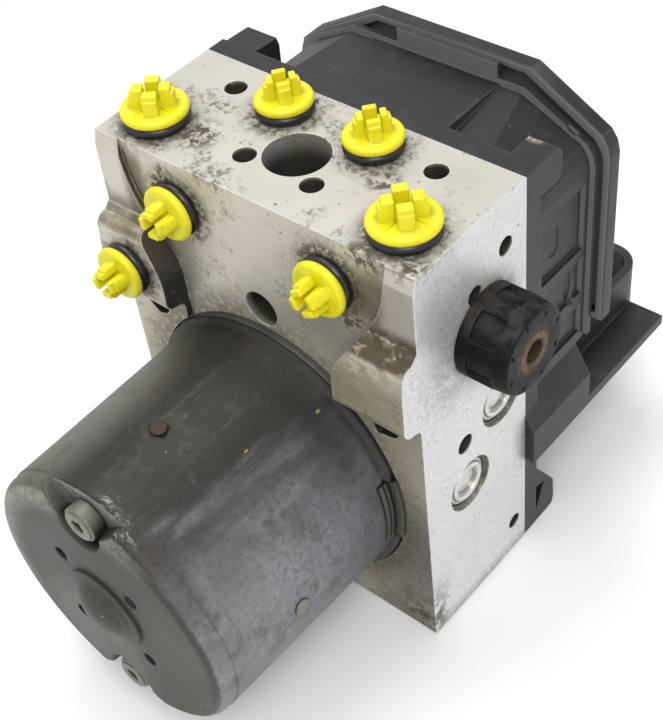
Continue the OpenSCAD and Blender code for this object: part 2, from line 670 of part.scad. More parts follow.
// Body of the harness connector: shoulder, floor plate and the socket that opens upwards
module harness_body() {
    slab(back, frame_y + 22) polygon([[box_l + 1.5, floor_z - floor_t], [side + 3.1, floor_z - floor_t],
        [side + 3.1, floor_z + 9.5], [side - 2, floor_z + 18.5], [side - 2, box_b + 1],
        [box_l + 1.5, box_b + 1]]);
    translate([box_l + 1.5, frame_y, floor_z - floor_t])
        cube([side + 3.1 - box_l - 1.5, floor_y - frame_y, floor_t]);
    translate([socket_x0, frame_y, floor_z - 1]) cube([socket_x1 - socket_x0, socket_y0 - frame_y, 12]);
    translate([0, 0, floor_z - 2]) linear_extrude(socket_h + 2) socket_shape();
    translate([0, 0, floor_z - floor_t]) linear_extrude(floor_t) socket_shape();
}
module socket_shape() {
    translate([socket_x0, socket_y0 - 3]) square([socket_x1 - socket_x0, socket_y1 - socket_y0 - 6]);
    translate([socket_x0 + 9, socket_y0]) square([socket_x1 - socket_x0 - 18, socket_y1 - socket_y0]);
    for (x = [socket_x0 + 9, socket_x1 - 9]) translate([x, socket_y1 - 9]) circle(9);
}
module socket_room() {
    w = socket_x1 - socket_x0 - 2 * shell_t;
    translate([socket_x0 + shell_t, socket_y0]) square([w, socket_y1 - socket_y0 - 9]);
    translate([socket_x0 + 9, socket_y0])
        square([socket_x1 - socket_x0 - 18, socket_y1 - socket_y0 - shell_t]);
    for (x = [socket_x0 + 9, socket_x1 - 9]) translate([x, socket_y1 - 9]) circle(9 - shell_t);
}
// Panels between the ribs on the right wall, with an oval and a lens-shaped dimple
module wall_panels() {
    for (z = [[3.5, 10.5], [18, 12.5], [33.5, 21]])
        translate([box_r - 1.2, frame_y + 1, box_b + z[0]]) cube([5, box_d - 3, z[1]]);
    translate([box_r - 1.6, frame_y + 8, box_b + 43.7]) rotate([0, 90, 0]) difference() {
        union() {
            translate([-2.4, 0, 0]) cylinder(r = 2.4, h = 5);
            translate([2.4, 0, 0]) cylinder(r = 2.4, h = 5);
            translate([-2.4, -2.4, 0]) cube([4.8, 4.8, 5]);
        }
    }
    translate([box_r - 2, frame_y + 15.5, box_b + 22.4]) rotate([0, 90, 0]) intersection() {
        translate([0, 6.5, 0]) cylinder(r = 9, h = 5);
        translate([0, -6.5, 0]) cylinder(r = 9, h = 5);
    }
}
seal_t = 1.2;
function seal_line(g) = outline(box_l + 1.2 - g, box_r - 4.6 + g, box_b + 1.2 - g, box_top - 10.2 + g,
    14, 2, 14, 2);
module seal_ring(g) difference() {
    polygon(seal_line(2 + g));
    polygon(seal_line(0.1 - g));
}
// Seal between frame and block
module ecu_gasket() color("black") slab(back, back + seal_t) seal_ring(0);
// Cover: a shallow tray over the lip's neck
module ecu_cover() color("#26262a") difference() {
    slab(cover_y, cover_y + cover_t) polygon(cover_line);
    slab(cover_y - 1, cover_y + cover_t - 2) polygon(cover_in);
}
// Circuit board on the ledge inside the lip
module circuit_board() color("darkgreen") slab(box_y, box_y + board_t) polygon(board_line);
// Chips and power stages on the board
module board_parts() color("#303030") {
    for (p = [[-6, 23, 18, 18, 2], [22, 17, 12, 10, 2], [22, 35, 12, 10, 2], [-28, 11, 9, 9, 1.4],
        [-28, 29, 9, 9, 1.4], [2, 51, 16, 8, 1.4]])
        translate([p[0], box_y + board_t, box_b + p[1]]) cube([p[2], p[4], p[3]]);
}
// Connector pins on the socket's floor
module connector_pins() color("gold") {
    for (i = [0 : 10], j = [0 : 1]) translate([socket_x0 + 14 + i * 3.4, socket_y0 + 12 + j * 6, floor_z])
        translate([-0.4, -0.4, 0]) cube([0.8, 0.8, 8]);
    for (j = [0 : 1]) translate([socket_x1 - 15, socket_y0 + 10 + j * 10, floor_z])
        translate([-2.4, -0.4, 0]) cube([4.8, 0.8, 8]);
}
// Screws of the controller
module ecu_screws() color("silver") at_ecu_screws() {
    translate([0, 0, 6]) cylinder(r = 3.8, h = 2.6);
    translate([0, 0, -10]) cylinder(r = ecu_screw_r, h = 17);
}

// Transport plug, hollow stem down, four lugs up round an open middle; z 0 is the seat
module plug(r, port) color("yellow") {
    lug_w = 0.3 * r + 1.1;
    difference() {
        union() {
            translate([0, 0, ring_h]) rotate_extrude() {
                square([r - 1.25, 2.5]);
                translate([r - 1.25, 1.25]) circle(1.25);
            }
            translate([0, 0, -11]) cylinder(r = port - fit, h = 11 + ring_h + 1);
        }
        translate([0, 0, -12]) cylinder(r = port - 1.6, h = 13);
    }
    translate([0, 0, ring_h + 2.4]) for (a = [0 : 90 : 270]) rotate(a) difference() {
        intersection() {
            translate([2.1, -lug_w / 2, 0]) cube([r, lug_w, crown_h + 0.1]);
            cylinder(r = r - 3.1, h = crown_h + 1);
        }
        translate([r - 4, -5, crown_h - 1.1]) cube([5, 10, 5]);
    }
}
ring_h = 2.5;
// Sealing ring under a plug's flange
module ring_seal(r, port) rotate_extrude() intersection() {
    translate([r - 1.55, ring_h / 2]) circle(1.5);
    translate([port + 0.2, 0]) square([r, ring_h]);
}
module plug_big_left() at_top(-big_x, big_y) rotate(39) plug(big_plug_r, big_port_r);
module plug_big_right() at_top(big_x, big_y) rotate(47) plug(big_plug_r, big_port_r);
module plug_small_left() at_top(-small_x, small_y) rotate(53) plug(small_plug_r, small_port_r);
module plug_small_right() at_top(small_x, small_y) rotate(49) plug(small_plug_r, small_port_r);
module plug_pocket_left() at_pocket(-1) rotate(5) plug(small_plug_r, small_port_r - 0.4);
module plug_pocket_right() at_pocket(1) rotate(28) plug(small_plug_r, small_port_r - 0.4);
module plug_ridge() at_ridge() rotate(12) plug(small_plug_r, small_port_r - 0.4);
// Rings of the two large plugs
module seal_rings_large() color("black") for (s = [-1, 1])
    at_top(s * big_x, big_y) ring_seal(big_plug_r, big_port_r);
// Rings of the five small plugs
module seal_rings_small() color("black") {
    for (s = [-1, 1]) {
        at_top(s * small_x, small_y) ring_seal(small_plug_r, small_port_r);
        at_pocket(s) ring_seal(small_plug_r, small_port_r);
    }
    at_ridge() ring_seal(small_plug_r, small_port_r);
}

// Rubber of the mounting bush: side pockets, rounded rim and a ring of small holes
module bushing_rubber() color("#303030") at_bush() difference() {
    union() {
        cylinder(r = bush_r, h = bush_len - 6);
        translate([0, 0, bush_len - 6.01]) cylinder(r1 = bush_r, r2 = bush_r - 0.5, h = 5.01);
        translate([0, 0, bush_len - 1.01]) cylinder(r = bush_r - 1.4, h = 1.01);
        translate([0, 0, bush_len - 1]) rotate_extrude() translate([bush_r - 1.5, 0]) circle(1);
    }
    translate([0, 0, -1]) cylinder(r = core_tube_r, h = bush_len + 3);
    for (a = [11 : 60 : 311]) rotate(a) intersection() {
        translate([0, 0, 3]) difference() {
            cylinder(r = bush_r + 1, h = 7.4);
            translate([0, 0, -1]) cylinder(r = bush_r - 1.3, h = 10);
        }
        linear_extrude(20) polygon([[0, 0], [30, 9.7], [30, -9.7]]);
    }
    for (a = [18 : 45 : 333]) rotate(a) translate([bush_r - 2.5, 0, bush_len - 3]) cylinder(r = 0.7, h = 5);
}
// Steel core of the bush, with a threaded bore
module bushing_sleeve() color("peru") at_bush() difference() {
    cylinder(r = core_tube_r, h = bush_len);
    translate([0, 0, -1]) cylinder(r = bush_bore_r, h = bush_len + 2);
}

// Helical spring: radius of the helix, of the wire, turns, length, steps a turn and sides of the wire
module coil(r, w, turns, len, steps, sides) {
    n = steps * turns;
    pts = [for (i = [0 : n], j = [0 : sides - 1]) let (a = 360 * i / steps, b = 360 * j / sides)
        [(r + w * cos(b)) * cos(a), (r + w * cos(b)) * sin(a), w + w * sin(b) + (len - 2 * w) * i / n]];
    skin = [for (i = [0 : n - 1], j = [0 : sides - 1]) let (k = (j + 1) % sides)
        [i * sides + j, i * sides + k, (i + 1) * sides + k, (i + 1) * sides + j]];
    caps = [[for (j = [sides - 1 : -1 : 0]) j], [for (j = [0 : sides - 1]) n * sides + j]];
    polyhedron(pts, concat(skin, caps));
}
// Extrudes an outline in x and z from y0 to y1
module slab(y0, y1) translate([0, y1, 0]) rotate([90, 0, 0]) linear_extrude(y1 - y0) children();
module on_motor() translate([0, front, motor_z]) rotate([90, 0, 0]) children();
module pump_axis(s) translate([0, pump_y, motor_z]) rotate([0, s * 90, 0]) children();
module at_bush() on_side(1) translate([bush_pos[0], bush_pos[1], 0]) children();
module at_top(x, y) translate([x, y, block_h]) children();
module at_pocket(s) translate([s * pocket_port[0], seat_y, pocket_port[1]]) rotate([90, 0, 0]) children();
module at_ridge() translate([ridge_port[0], ridge_seat, ridge_port[1]]) rotate([90, 0, 0]) children();
// On a side face: x is the block's y, y is up, z points out
module on_side(s) multmatrix([[0, 0, s, s * side], [1, 0, 0, 0], [0, 1, 0, 0]]) children();
module from_top(x, y, depth, r) translate([x, y, block_h - depth]) cylinder(r = r, h = depth + 5);
module from_front(x, z, y, depth, r) translate([x, y + depth, z]) rotate([90, 0, 0])
    cylinder(r = r, h = depth + 5);
module at_valves() for (x = valve_x, z = valve_z) translate([x, back, z]) rotate([-90, 0, 0]) children();
module at_ecu_screws() for (x = [-1, 1], z = [ecu_screw[1], block_h - ecu_screw[1]])
    translate([x * ecu_screw[0], back, z]) rotate([-90, 0, 0]) children();

valve_block();
motor_can();
motor_end_shield();
motor_screws();
motor_rivets();
motor_magnets();
brush_plate();
motor_brushes();
brush_springs();
end_bush();
shield_bearing_outer();
shield_bearing_inner();
shield_bearing_balls();
armature_shaft();
armature_core();
armature_winding();
commutator();
eccentric_ring();
eccentric_needles();
pump_pistons();
pump_springs();
pump_sleeves();
pump_caps();
damper_caps();
accumulator_piston_left();
accumulator_piston_right();
accumulator_ring_left();
accumulator_ring_right();
accumulator_spring_left();
accumulator_spring_right();
accumulator_caps();
valve_domes();
valve_coils();
coil_yokes();
ecu_housing();
ecu_gasket();
ecu_cover();
circuit_board();
board_parts();
connector_pins();
ecu_screws();
plug_big_left();
plug_big_right();
plug_small_left();
plug_small_right();
plug_pocket_left();
plug_pocket_right();
plug_ridge();
seal_rings_large();
seal_rings_small();
bushing_rubber();
bushing_sleeve();
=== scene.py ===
import json
import math

import bmesh
import bpy
import mathutils
import numpy as np
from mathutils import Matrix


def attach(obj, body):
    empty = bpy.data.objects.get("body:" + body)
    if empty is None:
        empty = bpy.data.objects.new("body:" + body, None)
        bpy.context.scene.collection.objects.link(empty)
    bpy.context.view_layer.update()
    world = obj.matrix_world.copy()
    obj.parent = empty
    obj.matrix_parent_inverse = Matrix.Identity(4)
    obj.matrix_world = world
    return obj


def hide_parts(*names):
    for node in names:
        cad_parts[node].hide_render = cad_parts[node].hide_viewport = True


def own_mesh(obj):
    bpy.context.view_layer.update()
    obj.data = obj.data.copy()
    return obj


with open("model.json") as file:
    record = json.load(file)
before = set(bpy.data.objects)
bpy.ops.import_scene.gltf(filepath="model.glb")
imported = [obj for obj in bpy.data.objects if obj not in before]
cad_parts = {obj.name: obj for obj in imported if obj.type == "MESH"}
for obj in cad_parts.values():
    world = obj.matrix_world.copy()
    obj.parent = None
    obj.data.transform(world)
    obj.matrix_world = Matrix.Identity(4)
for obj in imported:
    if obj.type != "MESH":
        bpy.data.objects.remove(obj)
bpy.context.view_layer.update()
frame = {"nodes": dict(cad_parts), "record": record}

# Looks of the ABS brake module. The scene is in metres. Points handed to the helpers, and the tables of places
# below, are in millimetres; the limits of a ramp over x, y, z or a distance are in metres.
MM = 0.001
scene = bpy.context.scene
scene.view_settings.view_transform = "Standard"
BEHAVIOUR = frame["record"]["behaviour"]
BODY_OF = {node: body for body, nodes in BEHAVIOUR["bodies"].items() for node in nodes}
SLOT_OF = {part["node"]: part["material_slot"] for part in frame["record"]["subparts"]}

# ---------------------------------------------------------------- camera
# Solved from the photo: angles in radians, the eye in millimetres, the other lengths in pixels
AZIMUTH, ELEVATION, ROLL = -0.80217, -0.79119, -0.14149
EYE = (193.244, -187.356, 331.537)
FOCAL, CENTRE_X, CENTRE_Y = 1359.303, 327.472, 370.148
WIDTH, HEIGHT = 663, 720
SENSOR = 36  # millimetres over the picture's height, its longer side
NEAR_CLIP = 0.01


def make_camera():
    """Puts the camera where the photo was taken from, with the photo's frame."""
    look = mathutils.Vector((math.cos(ELEVATION) * math.sin(AZIMUTH), math.cos(ELEVATION) * math.cos(AZIMUTH),
        math.sin(ELEVATION)))
    level_right = look.cross(mathutils.Vector((0, 0, 1))).normalized()
    level_up = level_right.cross(look)
    right = math.cos(ROLL) * level_right + math.sin(ROLL) * level_up
    up = -math.sin(ROLL) * level_right + math.cos(ROLL) * level_up
    cam = bpy.data.objects.new("camera", bpy.data.cameras.new("camera"))
    scene.collection.objects.link(cam)
    turn = mathutils.Matrix((right, up, -look)).transposed().to_4x4()
    cam.matrix_world = mathutils.Matrix.Translation(mathutils.Vector(EYE) * MM) @ turn
    cam.data.sensor_width = SENSOR
    cam.data.lens = FOCAL * SENSOR / HEIGHT
    cam.data.shift_x = (WIDTH / 2 - CENTRE_X) / HEIGHT
    cam.data.shift_y = (CENTRE_Y - HEIGHT / 2) / HEIGHT
    cam.data.clip_start = NEAR_CLIP
    scene.camera = cam


make_camera()

# ---------------------------------------------------------------- stage and light
FLOOR_HALF, FLOOR_Z = 3, -0.0005
FLOOR_TONE, FLOOR_ROUGH = 0.93, 0.9
FADE_FROM, FADE_TO = 0.15, 0.36  # how far from the middle the floor turns white
AMBIENT = 0.6  # the world's strength as a light; seen as a background it has 1
LAMP_AIM = (0, 0, 0.06)
LAMPS = (("key", (0.5, -0.5, 1.0), 0.6, 7), ("top", (-0.3, 0.1, 1.1), 0.7, 6))  # name, place, size, watts
WHITE = (1, 1, 1, 1)


def put(tree, socket, value):
    """Links a socket, or writes a value, into an input."""
    if isinstance(value, bpy.types.NodeSocket):
        tree.links.new(value, socket)
    else:
        socket.default_value = value


def node_in(tree, kind, *values, **settings):
    """A new node with its settings. The values, which are sockets or numbers, go to its first inputs."""
    node = tree.nodes.new(kind)
    for key, value in settings.items():
        setattr(node, key, value)
    for socket, value in zip(node.inputs, values):
        put(tree, socket, value)
    return node


def background_rays(tree):
    """One for the rays of the camera, of gloss and of glass, which see the white background."""
    path = node_in(tree, "ShaderNodeLightPath")
    out = path.outputs["Is Camera Ray"]
    for name in ("Is Glossy Ray", "Is Transmission Ray"):
        out = node_in(tree, "ShaderNodeMath", out, path.outputs[name], operation="MAXIMUM").outputs[0]
    return out


def fade_floor(tree):
    """Far from the object the floor turns into the white background; near it, it keeps the shadow."""
    place = node_in(tree, "ShaderNodeTexCoord").outputs["Object"]
    off = node_in(tree, "ShaderNodeVectorMath", place, operation="LENGTH").outputs["Value"]
    far = node_in(tree, "ShaderNodeMapRange", off, FADE_FROM, FADE_TO, interpolation_type="SMOOTHSTEP")
    seen = background_rays(tree)
    share = node_in(tree, "ShaderNodeMath", far.outputs[0], seen, operation="MULTIPLY").outputs[0]
    white = node_in(tree, "ShaderNodeEmission").outputs[0]
    mixed = node_in(tree, "ShaderNodeMixShader", share, tree.nodes["Principled BSDF"].outputs[0], white)
    tree.links.new(mixed.outputs[0], tree.nodes["Material Output"].inputs["Surface"])


def make_floor():
    """A pale floor just below the part, which is stage and no piece of it."""
    mesh = bpy.data.meshes.new("floor")
    corners = [(x * FLOOR_HALF, y * FLOOR_HALF, FLOOR_Z) for x, y in ((-1, -1), (1, -1), (1, 1), (-1, 1))]
    mesh.from_pydata(corners, [], [(0, 1, 2, 3)])
    floor = bpy.data.objects.new("floor", mesh)
    scene.collection.objects.link(floor)
    mat = bpy.data.materials.new("floor")
    mat.use_nodes = True
    bsdf = mat.node_tree.nodes["Principled BSDF"]
    bsdf.inputs["Base Color"].default_value = (FLOOR_TONE, FLOOR_TONE, FLOOR_TONE, 1)
    bsdf.inputs["Roughness"].default_value = FLOOR_ROUGH
    fade_floor(mat.node_tree)
    mesh.materials.append(mat)


def make_world():
    """White behind the part, and a dimmer white as the light from all around."""
    world = bpy.data.worlds.new("world")
    world.use_nodes = True
    tree = world.node_tree
    background = tree.nodes["Background"]
    background.inputs["Color"].default_value = WHITE
    level = node_in(tree, "ShaderNodeMapRange", background_rays(tree), 0.0, 1.0, AMBIENT, 1.0)
    tree.links.new(level.outputs[0], background.inputs["Strength"])
    scene.world = world


def area_light(name, place, size, watts):
    """A square lamp that faces the middle of the part."""
    lamp = bpy.data.lights.new(name, "AREA")
    lamp.size = size
    lamp.energy = watts
    obj = bpy.data.objects.new(name, lamp)
    scene.collection.objects.link(obj)
    obj.location = place
    look = mathutils.Vector(LAMP_AIM) - mathutils.Vector(place)
    obj.rotation_euler = look.to_track_quat("-Z", "Y").to_euler()


# ---------------------------------------------------------------- shader helpers
RAY_SAMPLES = 4  # of the bevel and occlusion nodes
EDGE_DOT = 0.985, 0.90  # of the rounded normal and the face's own, where the edges' wear and painted highlight begin and where they are full
ABOUT_X, ABOUT_Y, ABOUT_Z = (0, 1, 1), (1, 0, 1), (1, 1, 0)  # scales with which away() measures from an axis


def srgb(r, g, b):
    """A colour of 0 to 255 a channel, as the linear one that the nodes take."""
    def lin(c):
        c /= 255
        return c / 12.92 if c <= 0.04045 else ((c + 0.055) / 1.055) ** 2.4
    return (lin(r), lin(g), lin(b), 1)


class Shader:
    """A principled material with short helpers for its nodes; sockets and numbers can be mixed freely."""

    def __init__(self, name):
        self.mat = bpy.data.materials.new(name)
        self.mat.use_nodes = True
        self.tree = self.mat.node_tree
        self.bsdf = self.tree.nodes["Principled BSDF"]
        coords = self.node("ShaderNodeTexCoord")
        self.place = coords.outputs["Object"]
        self.x, self.y, self.z = self.node("ShaderNodeSeparateXYZ", self.place).outputs
        self.nx, self.ny, self.nz = self.node("ShaderNodeSeparateXYZ", coords.outputs["Normal"]).outputs

    def node(self, kind, *values, **settings):
        return node_in(self.tree, kind, *values, **settings)

    def math(self, op, a, b=0.0, clamp=False):
        return self.node("ShaderNodeMath", a, b, operation=op, use_clamp=clamp).outputs[0]

    def mul(self, a, *more):
        for m in more:
            a = self.math("MULTIPLY", a, m)
        return a

    def most(self, a, *more):
        for m in more:
            a = self.math("MAXIMUM", a, m)
        return a

    def inv(self, a):
        return self.math("SUBTRACT", 1.0, a, clamp=True)

    def abs(self, a):
        return self.math("ABSOLUTE", a)

    def ramp(self, value, lo, hi, out_lo=0.0, out_hi=1.0):
        """A smooth step, from out_lo where the value is lo to out_hi where it is hi."""
        return self.node("ShaderNodeMapRange", value, lo, hi, out_lo, out_hi,
            interpolation_type="SMOOTHSTEP").outputs[0]

    def noise(self, scale, detail=4.0, rough=0.55, stretch=(1, 1, 1), shift=(0, 0, 0), distort=0.0, place=None):
        """Clouds from about 0.3 to 0.7, finer the larger the scale and, along each axis, the stretch."""
        m = self.node("ShaderNodeMapping", self.place if place is None else place)
        m.inputs["Location"].default_value = shift
        m.inputs["Scale"].default_value = stretch
        n = self.node("ShaderNodeTexNoise", m.outputs[0])
        n.inputs["Scale"].default_value = scale
        n.inputs["Detail"].default_value = detail
        n.inputs["Roughness"].default_value = rough
        n.inputs["Distortion"].default_value = distort
        return n.outputs["Fac"]

    def specks(self, scale, rim, core, where, lo, hi):
        """One in the core of scattered specks, nought outside their rim, and only where the noise passes lo to
        hi. Rim and core are distances from the specks' middles, as shares of the space between them."""
        n = self.node("ShaderNodeTexVoronoi", self.place)
        n.inputs["Scale"].default_value = scale
        return self.mul(self.ramp(n.outputs["Distance"], rim, core), self.ramp(where, lo, hi))

    def spots(self, points):
        """One round each of the points, given as x, y, z, reach and core in millimetres."""
        return self.most(*[self.ramp(self.away(point), reach * MM, core * MM)
            for *point, reach, core in points])

    def join(self, x, y, z):
        return self.node("ShaderNodeCombineXYZ", x, y, z).outputs[0]

    def away(self, point, scale=(1, 1, 1), place=None):
        """Distance in metres from a point in millimetres, with the axes weighted by scale. The place can be
        another set of coordinates, such as the can's unrolled side."""
        off = self.node("ShaderNodeVectorMath", self.place if place is None else place, [c * MM for c in point],
            operation="SUBTRACT")
        off = self.node("ShaderNodeVectorMath", off.outputs[0], scale, operation="MULTIPLY")
        return self.node("ShaderNodeVectorMath", off.outputs[0], operation="LENGTH").outputs["Value"]

    def mix(self, amount, a, b):
        """Colour a, or colour b where the amount is one."""
        n = self.node("ShaderNodeMix", amount, data_type="RGBA")
        put(self.tree, n.inputs[6], a)  # the node's inputs and output for colours come after those for numbers
        put(self.tree, n.inputs[7], b)
        return n.outputs[2]

    def over(self, color, tone, *masks):
        """The colour with a tone laid over it, as strong as the product of the masks."""
        return self.mix(self.mul(*masks), color, tone)

    def crevice(self, distance):
        """One in corners and beside other pieces, nought where nothing is within the distance."""
        n = self.node("ShaderNodeAmbientOcclusion", samples=RAY_SAMPLES)
        n.inputs["Distance"].default_value = distance
        return self.inv(n.outputs["AO"])

    def edge(self, radius):
        """The normal with the edges rounded."""
        n = self.node("ShaderNodeBevel", samples=RAY_SAMPLES)
        n.inputs["Radius"].default_value = radius
        return n.outputs[0]

    def edge_wear_and_highlight(self, radius):
        """One on edges, where the rounded normal leaves the face's own; the callers lay wear and a painted
        highlight there.
        """
        own = self.node("ShaderNodeNewGeometry").outputs["True Normal"]
        same = self.node("ShaderNodeVectorMath", self.edge(radius), own, operation="DOT_PRODUCT")
        return self.ramp(same.outputs["Value"], *EDGE_DOT)

    def bump(self, height, strength, distance, over=None):
        """The normal with relief from a height, on top of the normal over."""
        n = self.node("ShaderNodeBump")
        n.inputs["Strength"].default_value = strength
        n.inputs["Distance"].default_value = distance
        put(self.tree, n.inputs["Height"], height)
        if over is not None:
            put(self.tree, n.inputs["Normal"], over)
        return n.outputs[0]

    def finish(self, color, rough, metal=0.0, normal=None, **more):
        """The material with its inputs set; those in more have _ for each space in their names."""
        put(self.tree, self.bsdf.inputs["Base Color"], color)
        put(self.tree, self.bsdf.inputs["Roughness"], rough)
        put(self.tree, self.bsdf.inputs["Metallic"], metal)
        if normal is not None:
            put(self.tree, self.bsdf.inputs["Normal"], normal)
        for name, value in more.items():
            self.bsdf.inputs[name.replace("_", " ")].default_value = value
        return self.mat


# ---------------------------------------------------------------- places on the part, in millimetres
TOP, FRONT, SIDE = 134.6, -22, 51.4  # the valve block's faces; the left one is at -SIDE
TOP_PORTS = ((-39.8, -8.95), (39.8, -8.95), (-14.4, 11.65), (14.4, 11.65))  # x, y
FRONT_PORTS = ((-25, -19.95, 120.8), (25, -19.95, 120.8), (-40.8, -28.15, 99))  # the pocket's two, the ridge's
TOP_BORES = ((0, -0.45, 8.7, 7.83), (-32.4, 12.55, 3.1, 1.24), (32.4, 12.55, 3.1, 1.24),
    (-10.85, -7.55, 3.1, 1.24), (10.85, -7.55, 3.1, 1.24))  # x, y, radius, depth where it gets dark
SIDE_BORES = ((13.35, 120, 2.7), (0.85, 113.6, 2.7), (-5.05, 66.2, 3.0), (16.55, 11.9, 2.5))  # y, z, radius
FRONT_BORE = (-0.6, FRONT, 98.1)
# x, y, z, reach and core of spots
BLOTS = ((-27, -8, TOP, 9, 3.15), (37, -21, TOP, 9, 3.15), (48, -17, TOP, 6, 2.1), (-33, -15, TOP, 6, 2.1),
    (24, 3, TOP, 6, 2.1), (-1, 2, TOP + 2, 6, 2.1), (-48, 2, TOP, 5, 1.75), (30, -20, 112, 8, 2.8),
    (-28, -20, 129, 5, 1.75))
TINTS = ((37, -15, 121, 15, 6), (-34, -15, 122, 13, 5))
RUBS = ((6.5, -84, 88.5, 5, 2), (11, -86, 87, 5, 2), (15, -87.5, 85, 4, 1.5))
MOTOR_Z, CAN_RADIUS, CAN_END = 49.0, 41, -90
END_HOLE = 12.66  # of the four holes in the can's end, from its axis in x and in z
SCUFFS = ((57, -63, 5.0, 13), (52, -54, 5.0, 14), (58, -72, 4.0, 12), (51, -45, 4.4, 13), (59, -48, 2.4, 14),
    (57, -40, 2.2, 10), (41, -52, 5.0, 18), (62, -80, 4.0, 9), (46, -66, 5.0, 12))  # degrees, y, width, length
FLECKS = ((23.6, -28.6, 82.5, (1, 0.6, 1)), (19.2, -50.2, 84.8, (1.6, 0.7, 1)))  # x, y, z, scale
DENTS = ((-0.6, -87, 81.7), (0.6, -87, 16.3))
BUSH = (66, 4.3, 100.5)  # on its axis, which lies along x
CHIP = (44, 36.5, 133.5)


# ---------------------------------------------------------------- materials
class BlockShader(Shader):
    """A shader with the masks that several layers of the valve block share."""

    def __init__(self, name):
        super().__init__(name)
        self.wide = self.abs(self.x)
        self.side = self.ramp(self.abs(self.nx), 0.7, 0.95)
        self.top = self.ramp(self.nz, 0.8, 0.97)
        self.cloud = self.noise(45, 5)
        self.broad = self.noise(22, 4, 0.6, shift=(2, 0, 3))
        self.rough_edge = self.noise(500, 6, 0.74)
        self.ridge = self.mul(self.ramp(self.y, -0.0216, -0.0222), self.inv(self.side))
        self.shelf = self.mul(self.ramp(self.z, 0.1068, 0.1094), self.ramp(self.z, 0.1185, 0.1135),
            self.ramp(self.wide, 0.030, 0.034), self.ramp(self.y, -0.0210, -0.0216),
            self.ramp(self.x, -0.01, 0.01, 0.45, 1.0))
        self.under = self.mul(self.ramp(self.z, 0.066, 0.040), self.ramp(self.x, 0.024, 0.034),
            self.inv(self.side), self.ramp(self.ny, -0.5, -0.9))


def flank_tone(s):
    """The block's side, painted pale as the most lit face, with speckles, a ground patch and fine hairs."""
    speckle = s.ramp(s.noise(640, 5, 0.7, shift=(6, 0, 2)), 0.36, 0.64)
    flank = s.mix(s.cloud, s.mix(speckle, srgb(203, 201, 201), srgb(216, 214, 214)),
        s.mix(speckle, srgb(217, 215, 215), srgb(230, 228, 228)))
    ground = s.ramp(s.away((SIDE, -15, 104)), 0.034, 0.010)
    flank = s.over(flank, srgb(150, 147, 150), ground, s.ramp(s.noise(640, 4, 0.6), 0.42, 0.62), 0.24)
    hair = s.ramp(s.noise(1, 4, 0.75, stretch=(1, 260, 1500), distort=0.4), 0.60, 0.72)
    return s.over(flank, srgb(150, 148, 148), hair, 0.30)


def block_tone(s):
    """The clean metal of front, top and sides, toned apart as painted light, the side palest and the top
    darkest, with a yellowish tint by the pocket's plugs and a brown ridge.
    """
    front_tone = s.mix(s.cloud, srgb(184, 178, 163), srgb(222, 217, 205))
    top_tone = s.mix(s.cloud, srgb(167, 164, 156), srgb(197, 194, 186))
    # painted light: each face has its own tone, the side palest and the top darkest
    color = s.mix(s.side, s.mix(s.top, front_tone, top_tone), flank_tone(s))
    color = s.over(color, srgb(190, 182, 120), s.spots(TINTS), s.ramp(s.broad, 0.3, 0.6), 0.45)
    lines = s.noise(1, 5, 0.7, stretch=(120, 1500, 2400), shift=(1, 0, 0))
    ridge_tone = s.mix(s.ramp(lines, 0.35, 0.62), srgb(146, 137, 112), srgb(186, 177, 150))
    return s.over(color, ridge_tone, s.ridge, 0.8)


def dark_features(s):
    """Masks of the pocket's curved walls, the notches under the ridge and the groove at the left wall's foot,
    which get painted shade.
    """
    wall = s.mul(s.ramp(s.abs(s.nx), 0.02, 0.08), s.ramp(s.abs(s.ny), 0.35, 0.2), s.ramp(s.wide, 0.0282, 0.0288),
        s.ramp(s.wide, 0.0438, 0.0433), s.ramp(s.z, 0.0772, 0.0779), s.inv(s.top))
    notch = s.mul(s.ramp(s.y, -0.02195, -0.0217), s.ramp(s.wide, 0.0350, 0.0354), s.ramp(s.wide, 0.0452, 0.0450),
        s.ramp(s.z, 0.0765, 0.0768), s.ramp(s.z, 0.0808, 0.0804), s.ramp(s.y, -0.0178, -0.0180))
    foot_x = s.ramp(s.z, 0.0935, 0.1285, 0.029, 0.043)  # how far left the foot is, at each height
    groove = s.mul(s.ramp(s.abs(s.math("ADD", s.x, foot_x)), 0.0018, 0.0009), s.ramp(s.y, -0.0209, -0.0205),
        s.ramp(s.z, 0.100, 0.104), s.ramp(s.z, 0.1335, 0.1300), 0.85)
    return wall, notch, groove


def bore_shade(s):
    """One inside the block's open bores, in its top, front and sides, where shade is painted, fuller deeper down
    in the top ones. The masks reach just past the rims.
    """
    dark = [s.mul(s.ramp(s.away((px, py, TOP), ABOUT_Z), (r + 0.25) * MM, (r + 0.1) * MM),
        s.ramp(s.z, (TOP - 0.3) * MM, (TOP - deep) * MM, 0.25, 0.95)) for px, py, r, deep in TOP_BORES]
    dark.append(s.mul(s.ramp(s.away(FRONT_BORE, ABOUT_Y), 0.00545, 0.0053), s.ramp(s.y, -0.0215, -0.017)))
    lateral = s.most(*[s.ramp(s.away((0, py, pz), ABOUT_X), (r + 0.15) * MM, (r + 0.05) * MM)
        for py, pz, r in SIDE_BORES])
    return s.most(*dark, s.mul(lateral, s.ramp(s.wide, 0.05135, 0.0506)))


